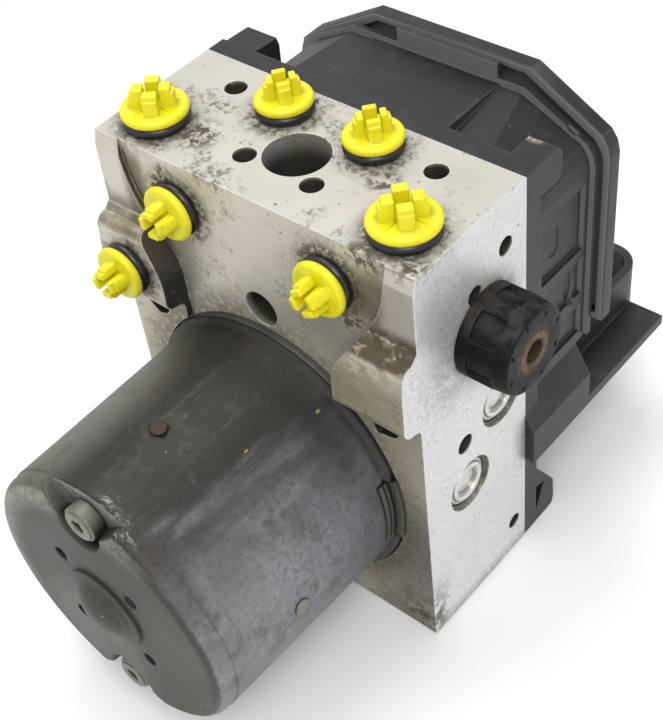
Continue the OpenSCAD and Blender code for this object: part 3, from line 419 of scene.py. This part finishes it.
def block_dirt_and_shade(s):
    """Crisp grime: round the plugs, in blots and patches, on the ridge, by the motor and low down; and painted
    shade in corners, broken up like grime.
    """
    rings = [s.away((px, py, TOP)) for px, py in TOP_PORTS] + [s.away(p) for p in FRONT_PORTS]
    grime = s.mul(s.most(*[s.ramp(ring, 0.0135, 0.0085) for ring in rings]),
        s.ramp(s.math("ADD", s.rough_edge, s.mul(s.broad, 0.5)), 0.72, 0.80))
    blots = s.mul(s.spots(BLOTS), s.ramp(s.noise(470, 6, 0.72, shift=(1, 1, 0)), 0.47, 0.52))
    patches = s.mul(s.ramp(s.noise(70, 5, 0.7), 0.54, 0.64), s.ramp(s.noise(600, 5, 0.8), 0.44, 0.6),
        s.inv(s.side), 0.8)
    on_shelf = s.mul(s.shelf, s.ramp(s.noise(260, 6, 0.7), 0.36, 0.50))
    on_ridge = s.mul(s.ridge, s.ramp(s.noise(110, 6, 0.75), 0.53, 0.66), 0.8)
    above_pocket = s.mul(s.most(on_shelf, on_ridge), s.inv(s.side))
    # painted shade in corners, from occlusion, broken up by noise as grime
    corners = s.mul(s.crevice(0.006), s.ramp(s.rough_edge, 0.3, 0.55), 1.3)
    specks = s.mul(s.specks(230, 0.12, 0.06, s.noise(90, 3), 0.5, 0.62), 0.9)
    pits = s.mul(s.specks(520, 0.18, 0.09, s.noise(120, 3, shift=(3, 1, 2)), 0.48, 0.62), 0.85)
    by_motor = s.mul(s.ramp(s.away((0, FRONT, MOTOR_Z), ABOUT_Y), 0.056, 0.044), s.inv(s.side), s.inv(s.top),
        s.ramp(s.rough_edge, 0.28, 0.6), 0.75)
    low = s.mul(s.under, s.ramp(s.rough_edge, 0.45, 0.6), 0.5)
    foot = s.mul(s.ramp(s.z, 0.030, 0.004), s.ramp(s.x, 0.028, 0.048), s.ramp(s.y, -0.012, -0.021),
        s.ramp(s.noise(240, 6, 0.7), 0.42, 0.58))
    by_bush = s.mul(s.ramp(s.away((SIDE, -7, 97)), 0.019, 0.004), s.side,
        s.ramp(s.noise(160, 5, 0.7), 0.25, 0.7), 0.45)
    return s.math("MINIMUM", s.most(grime, blots, above_pocket, corners, patches, specks, pits, by_motor, low,
        foot, by_bush), 1.0)


def block_stains_and_shade(s):
    """Soft stains: by the pocket's right plug, on the ridge's shelf and low down; and painted soft shade with
    grime by the pocket's left wall.
    """
    shade_and_grime_by_wall = s.mul(s.ramp(s.abs(s.math("ADD", s.x, 0.0395)), 0.0050, 0.0010), s.ramp(s.z, 0.104, 0.112),
        s.ramp(s.z, 0.1340, 0.128))
    by_plug = s.mul(s.ramp(s.away((38, FRONT, 121)), 0.0120, 0.004), s.ramp(s.x, 0.044, 0.040))
    return s.mul(s.most(shade_and_grime_by_wall, by_plug, s.mul(s.shelf, 0.8), s.under), s.inv(s.side), s.inv(s.top),
        s.ramp(s.broad, 0.25, 0.55, 0.6, 1.0))


def aluminium():
    """The block: clean metal, soft stains and shade, crisp grime, dark bores, a polished step, then the dark
    features; bores, corners and dark features hold painted shade, step and edges painted highlights.
    """
    s = BlockShader("machined_aluminium")
    dirt_and_shade = block_dirt_and_shade(s)
    wall, notch, groove = dark_features(s)
    stain_and_shade_tone = s.mix(s.ramp(s.z, 0.05, 0.08), srgb(72, 71, 70), srgb(82, 75, 56))
    color = s.over(block_tone(s), stain_and_shade_tone, block_stains_and_shade(s), 0.72)
    dirt_and_shade_tone = s.mix(s.noise(300, 3, shift=(5, 0, 0)), srgb(34, 29, 23), srgb(86, 72, 48))
    color = s.over(color, dirt_and_shade_tone, dirt_and_shade, 0.92)
    # painted shade inside the open bores
    color = s.over(color, s.mix(s.cloud, srgb(30, 25, 18), srgb(56, 48, 36)), bore_shade(s), 0.95)
    # a polished band on the ridge's rounding, with a painted highlight
    polish_and_highlight = s.mul(s.ramp(s.z, 0.1005, 0.1040), s.ramp(s.z, 0.1096, 0.1078), s.ramp(s.y, -0.0232, -0.0245),
        s.inv(s.side), s.ramp(s.noise(190, 6, 0.75, shift=(0, 2, 2)), 0.36, 0.56), s.ramp(s.wide, 0.026, 0.030))
    color = s.over(color, srgb(214, 209, 194), polish_and_highlight, 0.75)
    # painted shade, tinted brown, on the pocket's walls, the notches and the groove, paler higher up
    high = s.ramp(s.math("ADD", s.z, s.mul(s.broad, 0.02)), 0.106, 0.122)
    recess_shade_tone = s.mix(high, srgb(27, 22, 18), srgb(66, 54, 38))
    color = s.over(color, recess_shade_tone, s.most(wall, notch, groove),
        s.ramp(s.noise(330, 5, 0.7), 0.2, 0.5, 0.82, 0.98))
    # bright edges: wear, and a painted highlight
    color = s.over(color, srgb(240, 239, 236), s.edge_wear_and_highlight(0.0006), s.inv(dirt_and_shade), 0.75)
    # mill marks on the sides and fine drag lines elsewhere, under the grain of metal or dirt
    swirl = s.math("SINE", s.mul(s.away((SIDE, -60, 40)), 1900))
    drag = s.noise(1, 4, 0.6, stretch=(60, 900, 2600))
    marks = s.mix(s.side, drag, s.mix(0.82, swirl, s.noise(320, 5)))
    normal = s.bump(marks, 0.12, 0.00008, s.edge(0.0004))
    normal = s.bump(s.mix(dirt_and_shade, s.noise(1400, 3), s.noise(800, 4)), 0.25, 0.00008, normal)
    rough = s.math("ADD", s.ramp(s.cloud, 0.3, 0.7, 0.38, 0.48), s.mul(s.top, 0.12))
    rough = s.math("ADD", rough, s.mul(dirt_and_shade, 0.35))
    metal = s.mul(s.inv(s.most(dirt_and_shade, wall, notch)), s.ramp(s.top, 0.0, 1.0, 0.6, 0.42))
    return s.finish(color, rough, metal, normal)


def can_end_tone(s, cloud, mottle):
    """The can's grey end: pale by the rim on the upper left as a painted highlight, brown by it on the lower
    right, and a painted pool of light below the middle.
    """
    face = s.mix(cloud, srgb(44, 45, 39), srgb(72, 73, 65))
    face = s.over(face, srgb(56, 52, 44), s.ramp(s.noise(120, 6, 0.75, shift=(1, 4, 0)), 0.48, 0.66), 0.5)
    off = s.away((0, CAN_END, MOTOR_Z), ABOUT_Y)
    by_rim = s.ramp(off, 0.030, 0.038)
    upper_left = s.math("SUBTRACT", s.z, s.x)
    # painted highlight on the rim's upper left
    face = s.over(face, srgb(152, 149, 139), by_rim, s.ramp(upper_left, 0.050, 0.085), 0.8)
    # painted pool of light below the middle, a little to the left
    lit = s.mul(s.ramp(s.away((-7, CAN_END, 30)), 0.026, 0.008), s.ramp(mottle, 0.25, 0.6, 0.5, 1.0))
    face = s.over(face, srgb(116, 117, 109), lit, 0.55)
    grime = s.ramp(s.noise(380, 6, 0.75, shift=(0, 1, 5)), 0.50, 0.62)
    face = s.over(face, srgb(52, 49, 42), grime, s.ramp(off, 0.012, 0.024), 0.42)
    return s.over(face, srgb(62, 54, 42), by_rim, s.ramp(upper_left, 0.040, 0.0),
        s.ramp(mottle, 0.35, 0.6), 0.5)


def can_steel():
    """The motor can: dark, oiled and scuffed steel."""
    s = Shader("worn_can")
    end = s.ramp(s.ny, -0.62, -0.86)
    angle = s.math("ARCTAN2", s.math("SUBTRACT", s.z, MOTOR_Z * MM), s.x)
    around = s.join(s.mul(angle, CAN_RADIUS * MM), s.y, 0.0)  # the can's side, unrolled
    cloud = s.noise(38, 6, 0.65)
    mottle = s.noise(150, 6, 0.7)
    grain = s.noise(1500, 4, 0.7)
    # dark brown above, blue-grey on the lower right, and grey on the upper left as a painted highlight
    right = s.mul(s.ramp(angle, 1.15, 0.35), s.ramp(angle, -2.2, -1.2))
    brown = s.mix(s.noise(26, 4), srgb(26, 24, 19), srgb(41, 38, 32))
    blue = s.mix(s.ramp(s.y, -0.030, -0.078), srgb(104, 106, 113), srgb(146, 148, 152))
    color = s.over(brown, blue, right, s.ramp(cloud, 0.3, 0.7, 0.55, 1.0))
    # painted highlight: lighter grey on the upper left, towards the end
    left = s.mul(s.ramp(angle, 1.68, 2.05), s.ramp(s.y, -0.030, -0.060, 0.4, 1.0))
    color = s.over(color, srgb(112, 109, 100), left, 0.7)
    # soft scuffs along the can, to the right of the rivet
    ovals = [s.away((math.radians(degrees) * CAN_RADIUS, py, 0), (1 / wide, 1 / long, 0), around)
        for degrees, py, wide, long in SCUFFS]
    scuff = s.most(*[s.ramp(oval, MM, MM * 0.15) for oval in ovals])
    lines = s.noise(1, 5, 0.7, stretch=(430, 26, 1), place=around)
    soft = s.noise(1, 5, 0.65, stretch=(190, 60, 1), place=around, shift=(4, 0, 0))
    scuff = s.mul(scuff, s.ramp(lines, 0.36, 0.66, 0.25, 1.0), s.ramp(soft, 0.32, 0.60))
    color = s.over(color, srgb(134, 134, 143), scuff, 0.46)
    faint = s.ramp(s.noise(1, 5, 0.7, stretch=(300, 30, 1), place=around, shift=(7, 2, 0)), 0.52, 0.72)
    color = s.over(color, srgb(104, 100, 94), faint, 0.22)
    blotch = s.ramp(s.noise(85, 5, 0.7, shift=(2, 2, 0)), 0.50, 0.64)
    color = s.over(color, srgb(50, 44, 40), blotch, 0.40)
    color = s.over(color, srgb(112, 108, 102), s.ramp(mottle, 0.52, 0.7), 0.18)
    # the rolled end: a brown band and pale rubs, then the end's own face
    band = s.mul(s.ramp(s.y, -0.0800, -0.0840), s.ramp(s.noise(90, 5, 0.7), 0.25, 0.6), s.ramp(angle, 0.1, 0.5),
        s.ramp(angle, 1.75, 1.45))
    color = s.over(color, srgb(56, 49, 41), band, s.inv(end), 0.5)
    streaks = s.ramp(s.noise(1, 6, 0.75, stretch=(380, 900, 500), distort=0.8), 0.50, 0.60)
    color = s.over(color, srgb(150, 152, 147), s.spots(RUBS), streaks, 0.55)
    color = s.mix(end, color, can_end_tone(s, cloud, mottle))
    # darker towards the block and on the rim
    color = s.over(color, srgb(36, 32, 27), s.ramp(s.y, -0.044, -0.023), s.inv(right), 0.6)
    color = s.over(color, srgb(34, 29, 25), s.ramp(s.y, -0.0262, -0.0240), s.ramp(mottle, 0.2, 0.5), 0.75)
    # specks, two flecks of yellow, pits, painted shade in the corners, sandy grain
    color = s.over(color, srgb(164, 162, 152), s.specks(170, 0.07, 0.03, s.noise(60, 2), 0.52, 0.62), 0.8)
    fleck = s.most(*[s.ramp(s.away((px, py, pz), scale), 0.0006, 0.0003) for px, py, pz, scale in FLECKS])
    color = s.over(color, srgb(150, 138, 66), fleck, s.ramp(grain, 0.3, 0.5))
    pits = s.specks(420, 0.15, 0.07, s.noise(130, 3, shift=(1, 1, 1)), 0.48, 0.62)
    color = s.over(color, srgb(30, 26, 24), pits, 0.75)
    color = s.over(color, srgb(32, 27, 23), s.crevice(0.004), 0.9)
    sand = s.ramp(s.noise(620, 5, 0.75, shift=(3, 3, 0)), 0.46, 0.62)
    color = s.over(color, srgb(38, 34, 31), sand, s.ramp(cloud, 0.3, 0.7, 0.16, 0.40))
    # painted shade in the four holes in the end, and fine scratches along the can
    hole = s.most(*[s.ramp(s.away((dx * END_HOLE, 0, MOTOR_Z + dz * END_HOLE), ABOUT_Y), 0.0023, 0.0021)
        for dx, dz in ((1, 1), (-1, 1), (-1, -1), (1, -1))])
    hole = s.mul(hole, s.ramp(s.y, -0.080, -0.084))
    color = s.over(color, srgb(13, 11, 10), hole, 0.97)
    thin = s.noise(1, 3, 0.7, stretch=(900, 50, 1), distort=0.6, shift=(0, 3, 1), place=around)
    scratch = s.ramp(thin, 0.68, 0.74)
    color = s.over(color, srgb(160, 160, 170), scratch, 0.3)
    normal = s.bump(s.math("ADD", grain, s.mul(scratch, -0.6)), 0.32, 0.00012, s.edge(0.0011))
    return s.finish(color, s.ramp(cloud, 0.2, 0.8, 0.44, 0.60), s.mul(s.inv(hole), 0.35), normal)


def black_plastic():
    """The controller's housing and cover: dusty and rubbed, greyer on what faces the front and the right as
    painted light, with painted highlights on edges.
    """
    s = Shader("black_plastic")
    cloud = s.noise(50, 5)
    color = s.mix(cloud, srgb(19, 19, 21), srgb(29, 29, 32))
    color = s.over(color, srgb(84, 84, 90), s.ramp(s.noise(140, 6, 0.7), 0.5, 0.75), 0.22)
    # painted light: paler on faces towards the front
    front = s.mul(s.ramp(s.ny, -0.6, -0.95), s.ramp(s.y, 0.030, 0.050))
    color = s.over(color, srgb(120, 119, 122), front, 0.8)
    # painted light: greyer on faces towards the right
    color = s.over(color, srgb(58, 58, 64), s.ramp(s.nx, 0.5, 0.9), s.ramp(cloud, 0.3, 0.7, 0.25, 0.6))
    rub = s.ramp(s.noise(1, 4, 0.7, stretch=(90, 500, 500), distort=0.5), 0.62, 0.74)
    color = s.over(color, srgb(110, 110, 118), rub, 0.22)
    # lighter edges: a painted highlight, with wear
    color = s.over(color, srgb(112, 112, 120), s.edge_wear_and_highlight(0.0008), 0.32)
    color = s.over(color, srgb(150, 146, 138), s.specks(260, 0.07, 0.03, s.noise(90, 2), 0.52, 0.62), 0.6)
    # the chipped edge of the pad at the upper right
    chip = s.mul(s.ramp(s.away(CHIP, (0.6, 1, 1)), 0.0035, 0.0015), s.ramp(s.noise(520, 5, 0.7), 0.42, 0.52))
    color = s.over(color, srgb(184, 174, 142), chip, 0.85)
    normal = s.bump(s.noise(2600, 3, 0.6), 0.18, 0.00008, s.edge(0.0006))
    return s.finish(color, s.ramp(cloud, 0.2, 0.8, 0.40, 0.52), 0.0, normal, Specular_IOR_Level=0.35)


def yellow_plastic():
    """The transport plugs, which let a little light in."""
    s = Shader("plug_yellow")
    tone = s.noise(120, 4)
    color = s.mix(tone, srgb(216, 208, 8), srgb(231, 223, 30))
    color = s.over(color, srgb(150, 140, 50), s.ramp(s.noise(500, 6, 0.75), 0.62, 0.75), 0.25)
    # painted shade in corners: a darker yellow
    color = s.over(color, srgb(186, 172, 4), s.crevice(0.003), 0.35)
    normal = s.bump(s.noise(700, 3), 0.12, 0.0001, s.edge(0.0004))
    return s.finish(color, s.ramp(tone, 0.2, 0.8, 0.36, 0.46), 0.0, normal, Subsurface_Weight=0.3,
        Subsurface_Scale=0.003)


def black_rubber():
    """The sealing rings and the gasket, slightly shiny."""
    s = Shader("seal_rubber")
    tone = s.noise(300, 4)
    color = s.mix(tone, srgb(12, 12, 13), srgb(26, 26, 28))
    return s.finish(color, s.ramp(tone, 0.2, 0.8, 0.24, 0.38), 0.0, s.bump(s.noise(900, 3), 0.1, 0.0001))


def old_rubber():
    """The bush's rubber: dusty above, with rust from its steel core and a painted highlight on its edges."""
    s = Shader("weathered_rubber")
    cloud = s.noise(160, 6, 0.7)
    color = s.mix(cloud, srgb(5, 5, 6), srgb(13, 13, 15))
    color = s.over(color, srgb(70, 69, 68), s.ramp(s.noise(420, 6, 0.75), 0.50, 0.70), 0.07)
    upper = s.mul(s.ramp(s.nz, 0.3, 0.8), s.ramp(s.noise(260, 5, 0.7, shift=(2, 0, 0)), 0.38, 0.6))
    color = s.over(color, srgb(96, 96, 95), upper, 0.20)
    face = s.ramp(s.nx, 0.6, 0.95)
    color = s.over(color, srgb(14, 14, 17), face, 0.35)
    rust = s.mul(s.ramp(s.z, 0.1075, 0.1125), s.ramp(s.x, 0.056, 0.0515), s.ramp(s.noise(220, 5, 0.7), 0.3, 0.6))
    color = s.over(color, srgb(104, 84, 66), rust, 0.34)
    rim = s.mul(s.ramp(s.away(BUSH, ABOUT_X), 0.0080, 0.0060), face)
    color = s.over(color, srgb(96, 80, 62), rim, 0.4, s.ramp(s.noise(500, 4), 0.35, 0.6))
    # painted highlight on the edges, with wear
    color = s.over(color, srgb(96, 96, 100), s.edge_wear_and_highlight(0.0007), 0.22)
    normal = s.bump(s.noise(900, 5, 0.7), 0.3, 0.0002, s.edge(0.0013))
    return s.finish(color, s.ramp(cloud, 0.2, 0.8, 0.36, 0.56), 0.0, normal, Specular_IOR_Level=0.14)


def rusty_steel():
    """The bush's core: brown, with painted shade in its bore, and darker towards the rubber."""
    s = Shader("rusty_steel")
    rust = s.noise(420, 6, 0.75)
    color = s.mix(s.ramp(rust, 0.35, 0.65), srgb(66, 50, 34), srgb(116, 93, 62))
    color = s.mix(s.ramp(s.noise(900, 5, 0.8), 0.52, 0.68), color, srgb(48, 34, 24))
    off = s.away(BUSH, ABOUT_X)
    # painted shade inside the bore
    color = s.over(color, srgb(40, 30, 22), s.ramp(off, 0.0040, 0.0034), 0.7)
    color = s.over(color, srgb(38, 32, 28), s.ramp(off, 0.0052, 0.0058), 0.75)
    return s.finish(color, 0.75, 0.2, s.bump(rust, 0.7, 0.0004, s.edge(0.0004)))


def rivet_steel():
    """Rusty brown on top of the can, grey at its right."""
    s = Shader("rivet_steel")
    tone = s.noise(500, 5, 0.7)
    grey = s.mix(tone, srgb(104, 104, 98), srgb(146, 146, 140))
    brown = s.mix(tone, srgb(42, 32, 26), srgb(68, 54, 45))
    color = s.mix(s.ramp(s.z, 0.070, 0.080), grey, brown)
    # painted shade in corners
    color = s.over(color, srgb(34, 28, 24), s.crevice(0.0015))
    return s.finish(color, 0.55, 0.5, s.bump(tone, 0.4, 0.0002, s.edge(0.0003)))


def screw_zinc():
    """Dull grey heads, with painted shade on what doesn't face the front and in corners."""
    s = Shader("dull_zinc")
    tone = s.noise(300, 5, 0.7)
    color = s.mix(tone, srgb(100, 102, 92), srgb(142, 144, 132))
    # painted shade on faces that don't face the front
    color = s.mix(s.ramp(s.ny, -0.8, -0.4, 0.0, 0.45), color, srgb(70, 66, 58))
    color = s.over(color, srgb(74, 66, 54), s.ramp(s.noise(620, 6, 0.75), 0.54, 0.68), 0.6)
    # painted shade in corners
    color = s.over(color, srgb(36, 31, 26), s.crevice(0.003), 0.9)
    normal = s.bump(s.noise(1300, 4, 0.6), 0.15, 0.0001, s.edge(0.0004))
    return s.finish(color, s.ramp(tone, 0.2, 0.8, 0.42, 0.56), 0.55, normal)


def bright_steel(name, lo, hi, rough):
    """Clean steel between two tones, with light brown stains and painted shade in corners."""
    s = Shader(name)
    tone = s.noise(200, 5)
    color = s.mix(tone, lo, hi)
    color = s.over(color, srgb(110, 96, 78), s.ramp(s.noise(500, 6, 0.7), 0.56, 0.7), 0.5)
    # painted shade in corners
    color = s.over(color, srgb(60, 50, 38), s.crevice(0.002))
    normal = s.bump(s.noise(1300, 4, 0.6), 0.15, 0.0001, s.edge(0.0003))
    return s.finish(color, s.ramp(tone, 0.2, 0.8, rough, rough + 0.12), 0.85, normal)


def plain(name, lo, hi, rough, metal=0.0):
    """A material of the inner pieces: two tones and a light grain."""
    s = Shader(name)
    tone = s.noise(300, 5, 0.6)
    normal = s.bump(s.noise(1200, 4), 0.2, 0.0001, s.edge(0.0003))
    return s.finish(s.mix(tone, lo, hi), s.ramp(tone, 0.2, 0.8, rough, rough + 0.1), metal, normal)


SLOTS = {
    "aluminium": aluminium(),
    "can_steel": can_steel(),
    "black_plastic": black_plastic(),
    "plug_yellow": yellow_plastic(),
    "rubber": black_rubber(),
    "old_rubber": old_rubber(),
    "rusty_steel": rusty_steel(),
    "steel": bright_steel("grey_steel", srgb(138, 138, 130), srgb(176, 176, 168), 0.42),
    "bright_steel": bright_steel("bright_steel", srgb(200, 198, 192), srgb(228, 226, 222), 0.28),
    "magnet": plain("ferrite", srgb(40, 40, 42), srgb(58, 58, 60), 0.7),
    "brown_plastic": plain("brown_plastic", srgb(70, 48, 34), srgb(88, 62, 44), 0.5),
    "carbon": plain("carbon", srgb(22, 22, 22), srgb(36, 36, 36), 0.7),
    "bronze": plain("bronze", srgb(150, 116, 66), srgb(184, 146, 90), 0.4, 0.9),
    "copper": plain("copper", srgb(166, 92, 52), srgb(200, 118, 70), 0.35, 0.9),
    "core_iron": plain("core_iron", srgb(92, 92, 94), srgb(122, 122, 124), 0.45, 0.8),
    "board_green": plain("board_green", srgb(16, 78, 40), srgb(26, 100, 54), 0.35),
    "chip_black": plain("chip_black", srgb(24, 24, 24), srgb(38, 38, 38), 0.5),
    "pin_gold": plain("pin_gold", srgb(200, 160, 78), srgb(226, 188, 104), 0.3, 0.95),
}
# nodes that look different from the rest of their slot
OWN = {
    "motor_rivets": rivet_steel(),
    "motor_screws": screw_zinc(),
    "motor_end_shield": bright_steel("shield_steel", srgb(88, 90, 86), srgb(120, 122, 116), 0.46),
}


def dress_nodes():
    for name, obj in frame["nodes"].items():
        mat = OWN.get(name) or SLOTS[SLOT_OF[name]]
        if not obj.data.materials:
            obj.data.materials.append(mat)
        for i in range(len(obj.data.materials)):
            obj.data.materials[i] = mat


dress_nodes()

# ---------------------------------------------------------------- rounded and pressed copies, and copies of the springs
WELD = 0.004 * MM  # points closer than this are one
SHARP = 38  # degrees from which an edge counts as sharp
FLAT_DOT = 0.99998  # of the normals of triangles that lie in one plane
PLUG_EDGE, COVER_EDGE, SCREW_EDGE, RIVET_EDGE = 0.32, 0.7, 0.4, 0.35  # roundings in millimetres
DENT_MIDDLES = [mathutils.Vector((x * MM, y * MM, z * MM)) for x, y, z in DENTS]
DEPTH_WEIGHT = 0.75  # of what lies behind a dent's middle; what lies in front has none
FINE_WITHIN, SMOOTH_WITHIN = (11, 15), (10, 13.5)  # millimetres from a dent: to where full, from where none
EDGE_LIMITS = (6, 3, 1.6, 1.0, 0.7)  # millimetres; edges longer than each in turn are cut
SMOOTH_SHARE, SMOOTH_ROUNDS = 0.5, 14
PLUGS = ("plug_big_left", "plug_big_right", "plug_small_left", "plug_small_right", "plug_pocket_left",
    "plug_pocket_right", "plug_ridge")


def spread(start, neighbours, left):
    """Lists start and what can be reached from it through the set left, and takes that out of the set."""
    group, todo = [], [start]
    while todo:
        item = todo.pop()
        group.append(item)
        for other in neighbours(item):
            if other in left:
                left.remove(other)
                todo.append(other)
    return group


def join_flat(bm):
    """Joins flat groups of triangles into single faces, but leaves those with a hole in them as they are."""
    bm.faces.ensure_lookup_table()
    left = set(bm.faces)
    groups = []
    for start in bm.faces:
        if start in left:
            left.remove(start)
            groups.append(spread(start, lambda f: [g for ed in f.edges for g in ed.link_faces
                if g.normal.dot(start.normal) > FLAT_DOT], left))
    for group in groups:
        if len(group) < 2:
            continue
        inside = set(group)
        rim = [ed for f in group for ed in f.edges if sum(g in inside for g in ed.link_faces) == 1]
        loops, left = 0, set(rim)
        while left:
            loops += 1
            spread(left.pop(), lambda ed: [other for v in ed.verts for other in v.link_edges], left)
        if loops == 1 and len({v for ed in rim for v in ed.verts}) == len(rim):
            bmesh.ops.dissolve_faces(bm, faces=group)


def apply_modifiers(ob):
    """Gives an object the mesh that its modifiers make of its own."""
    bpy.context.view_layer.update()
    done = bpy.data.meshes.new_from_object(ob.evaluated_get(bpy.context.evaluated_depsgraph_get()))
    ob.modifiers.clear()
    ob.data = done


def settle(ob):
    """Applies the modifiers, then shades smooth, but not over sharp edges, with the large faces kept flat."""
    apply_modifiers(ob)
    ob.data.shade_smooth()
    ob.data.set_sharp_from_angle(angle=math.radians(SHARP))
    ob.modifiers.new("flat", "WEIGHTED_NORMAL").keep_sharp = True
    apply_modifiers(ob)


def stand_in(ob, name):
    """Gives a copy the node's material and body, and hides the node, so that the copy shows in its place."""
    ob.data.materials.clear()
    ob.data.materials.append(frame["nodes"][name].data.materials[0])
    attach(ob, BODY_OF.get(name, "unit"))
    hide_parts(name)


def soften(name, width, segments=2, convex_only=False):
    """A copy of a node in its place, welded, with its sharp edges rounded, or just its convex ones."""
    src = frame["nodes"][name]
    bm = bmesh.new()
    bm.from_mesh(src.data)
    bmesh.ops.remove_doubles(bm, verts=bm.verts, dist=WELD)
    join_flat(bm)
    if convex_only:
        weight = bm.edges.layers.float.new("bevel_weight_edge")
        bm.normal_update()
        for ed in bm.edges:
            sharp = len(ed.link_faces) == 2 and ed.calc_face_angle(0) > math.radians(SHARP)
            ed[weight] = 1.0 if sharp and ed.is_convex else 0.0
    mesh = bpy.data.meshes.new(name + "_soft")
    bm.to_mesh(mesh)
    bm.free()
    ob = bpy.data.objects.new(name + "_soft", mesh)
    scene.collection.objects.link(ob)
    ob.matrix_world = src.matrix_world
    mod = ob.modifiers.new("round", "BEVEL")
    mod.width = width * MM
    mod.segments = segments
    mod.limit_method = "WEIGHT" if convex_only else "ANGLE"
    mod.angle_limit = math.radians(SHARP)
    mod.use_clamp_overlap = False
    settle(ob)
    stand_in(ob, name)


def near_dents(point, full, none):
    """One within full millimetres of a dent's middle, nought beyond none."""
    off = min(mathutils.Vector((point.x - c.x, max(0, point.y - c.y) * DEPTH_WEIGHT, point.z - c.z)).length
        for c in DENT_MIDDLES)
    return max(0.0, min(1.0, (none - off / MM) / (none - full)))


def relax(mesh, share, rounds):
    """Moves each point towards the middle of its neighbours, by its share of the way in each round."""
    co = np.empty(len(mesh.vertices) * 3)
    mesh.vertices.foreach_get("co", co)
    co = co.reshape(-1, 3)
    ends = np.empty(len(mesh.edges) * 2, dtype=np.int64)
    mesh.edges.foreach_get("vertices", ends)
    a, b = ends.reshape(-1, 2).T
    part = np.array([share(mathutils.Vector(c)) for c in co])[:, None]
    count = np.maximum(np.bincount(np.concatenate((a, b)), minlength=len(co)), 1)[:, None]
    for _ in range(rounds):
        total = np.zeros_like(co)
        np.add.at(total, a, co[b])
        np.add.at(total, b, co[a])
        co += (total / count - co) * part
    mesh.vertices.foreach_set("co", co.ravel())
    mesh.update()


def press_dents(name):
    """A copy of the can in its place, with finer triangles round its two dents and their folds smoothed as in
    pressed steel."""
    src = frame["nodes"][name]
    bm = bmesh.new()
    bm.from_mesh(src.data)
    bm.transform(src.matrix_world)
    bmesh.ops.remove_doubles(bm, verts=bm.verts, dist=WELD)
    for longest in EDGE_LIMITS:
        too_long = [ed for ed in bm.edges if ed.calc_length() > longest * MM
            and max(near_dents(v.co, *FINE_WITHIN) for v in ed.verts) > 0]
        if too_long:
            bmesh.ops.subdivide_edges(bm, edges=too_long, cuts=1)
            bmesh.ops.triangulate(bm, faces=[f for f in bm.faces if len(f.verts) > 3])
    mesh = bpy.data.meshes.new(name + "_pressed")
    bm.to_mesh(mesh)
    bm.free()
    relax(mesh, lambda point: near_dents(point, *SMOOTH_WITHIN) * SMOOTH_SHARE, SMOOTH_ROUNDS)
    ob = bpy.data.objects.new(name + "_pressed", mesh)
    scene.collection.objects.link(ob)
    settle(ob)
    stand_in(ob, name)


def squeeze_spring(side):
    """A copy of an accumulator's spring in its place, with a mesh of its own."""
    name = "accumulator_spring_" + side
    src = frame["nodes"][name]
    ob = bpy.data.objects.new(name + "_coil", src.data.copy())
    scene.collection.objects.link(ob)
    ob.matrix_world = src.matrix_world
    stand_in(ob, name)
    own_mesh(ob)


for plug in PLUGS:
    soften(plug, PLUG_EDGE, segments=3, convex_only=True)
press_dents("motor_can")
soften("ecu_cover", COVER_EDGE, segments=3)
soften("motor_screws", SCREW_EDGE, convex_only=True)
soften("motor_rivets", RIVET_EDGE, convex_only=True)
squeeze_spring("left")
squeeze_spring("right")

make_floor()
make_world()
for lamp in LAMPS:
    area_light(*lamp)
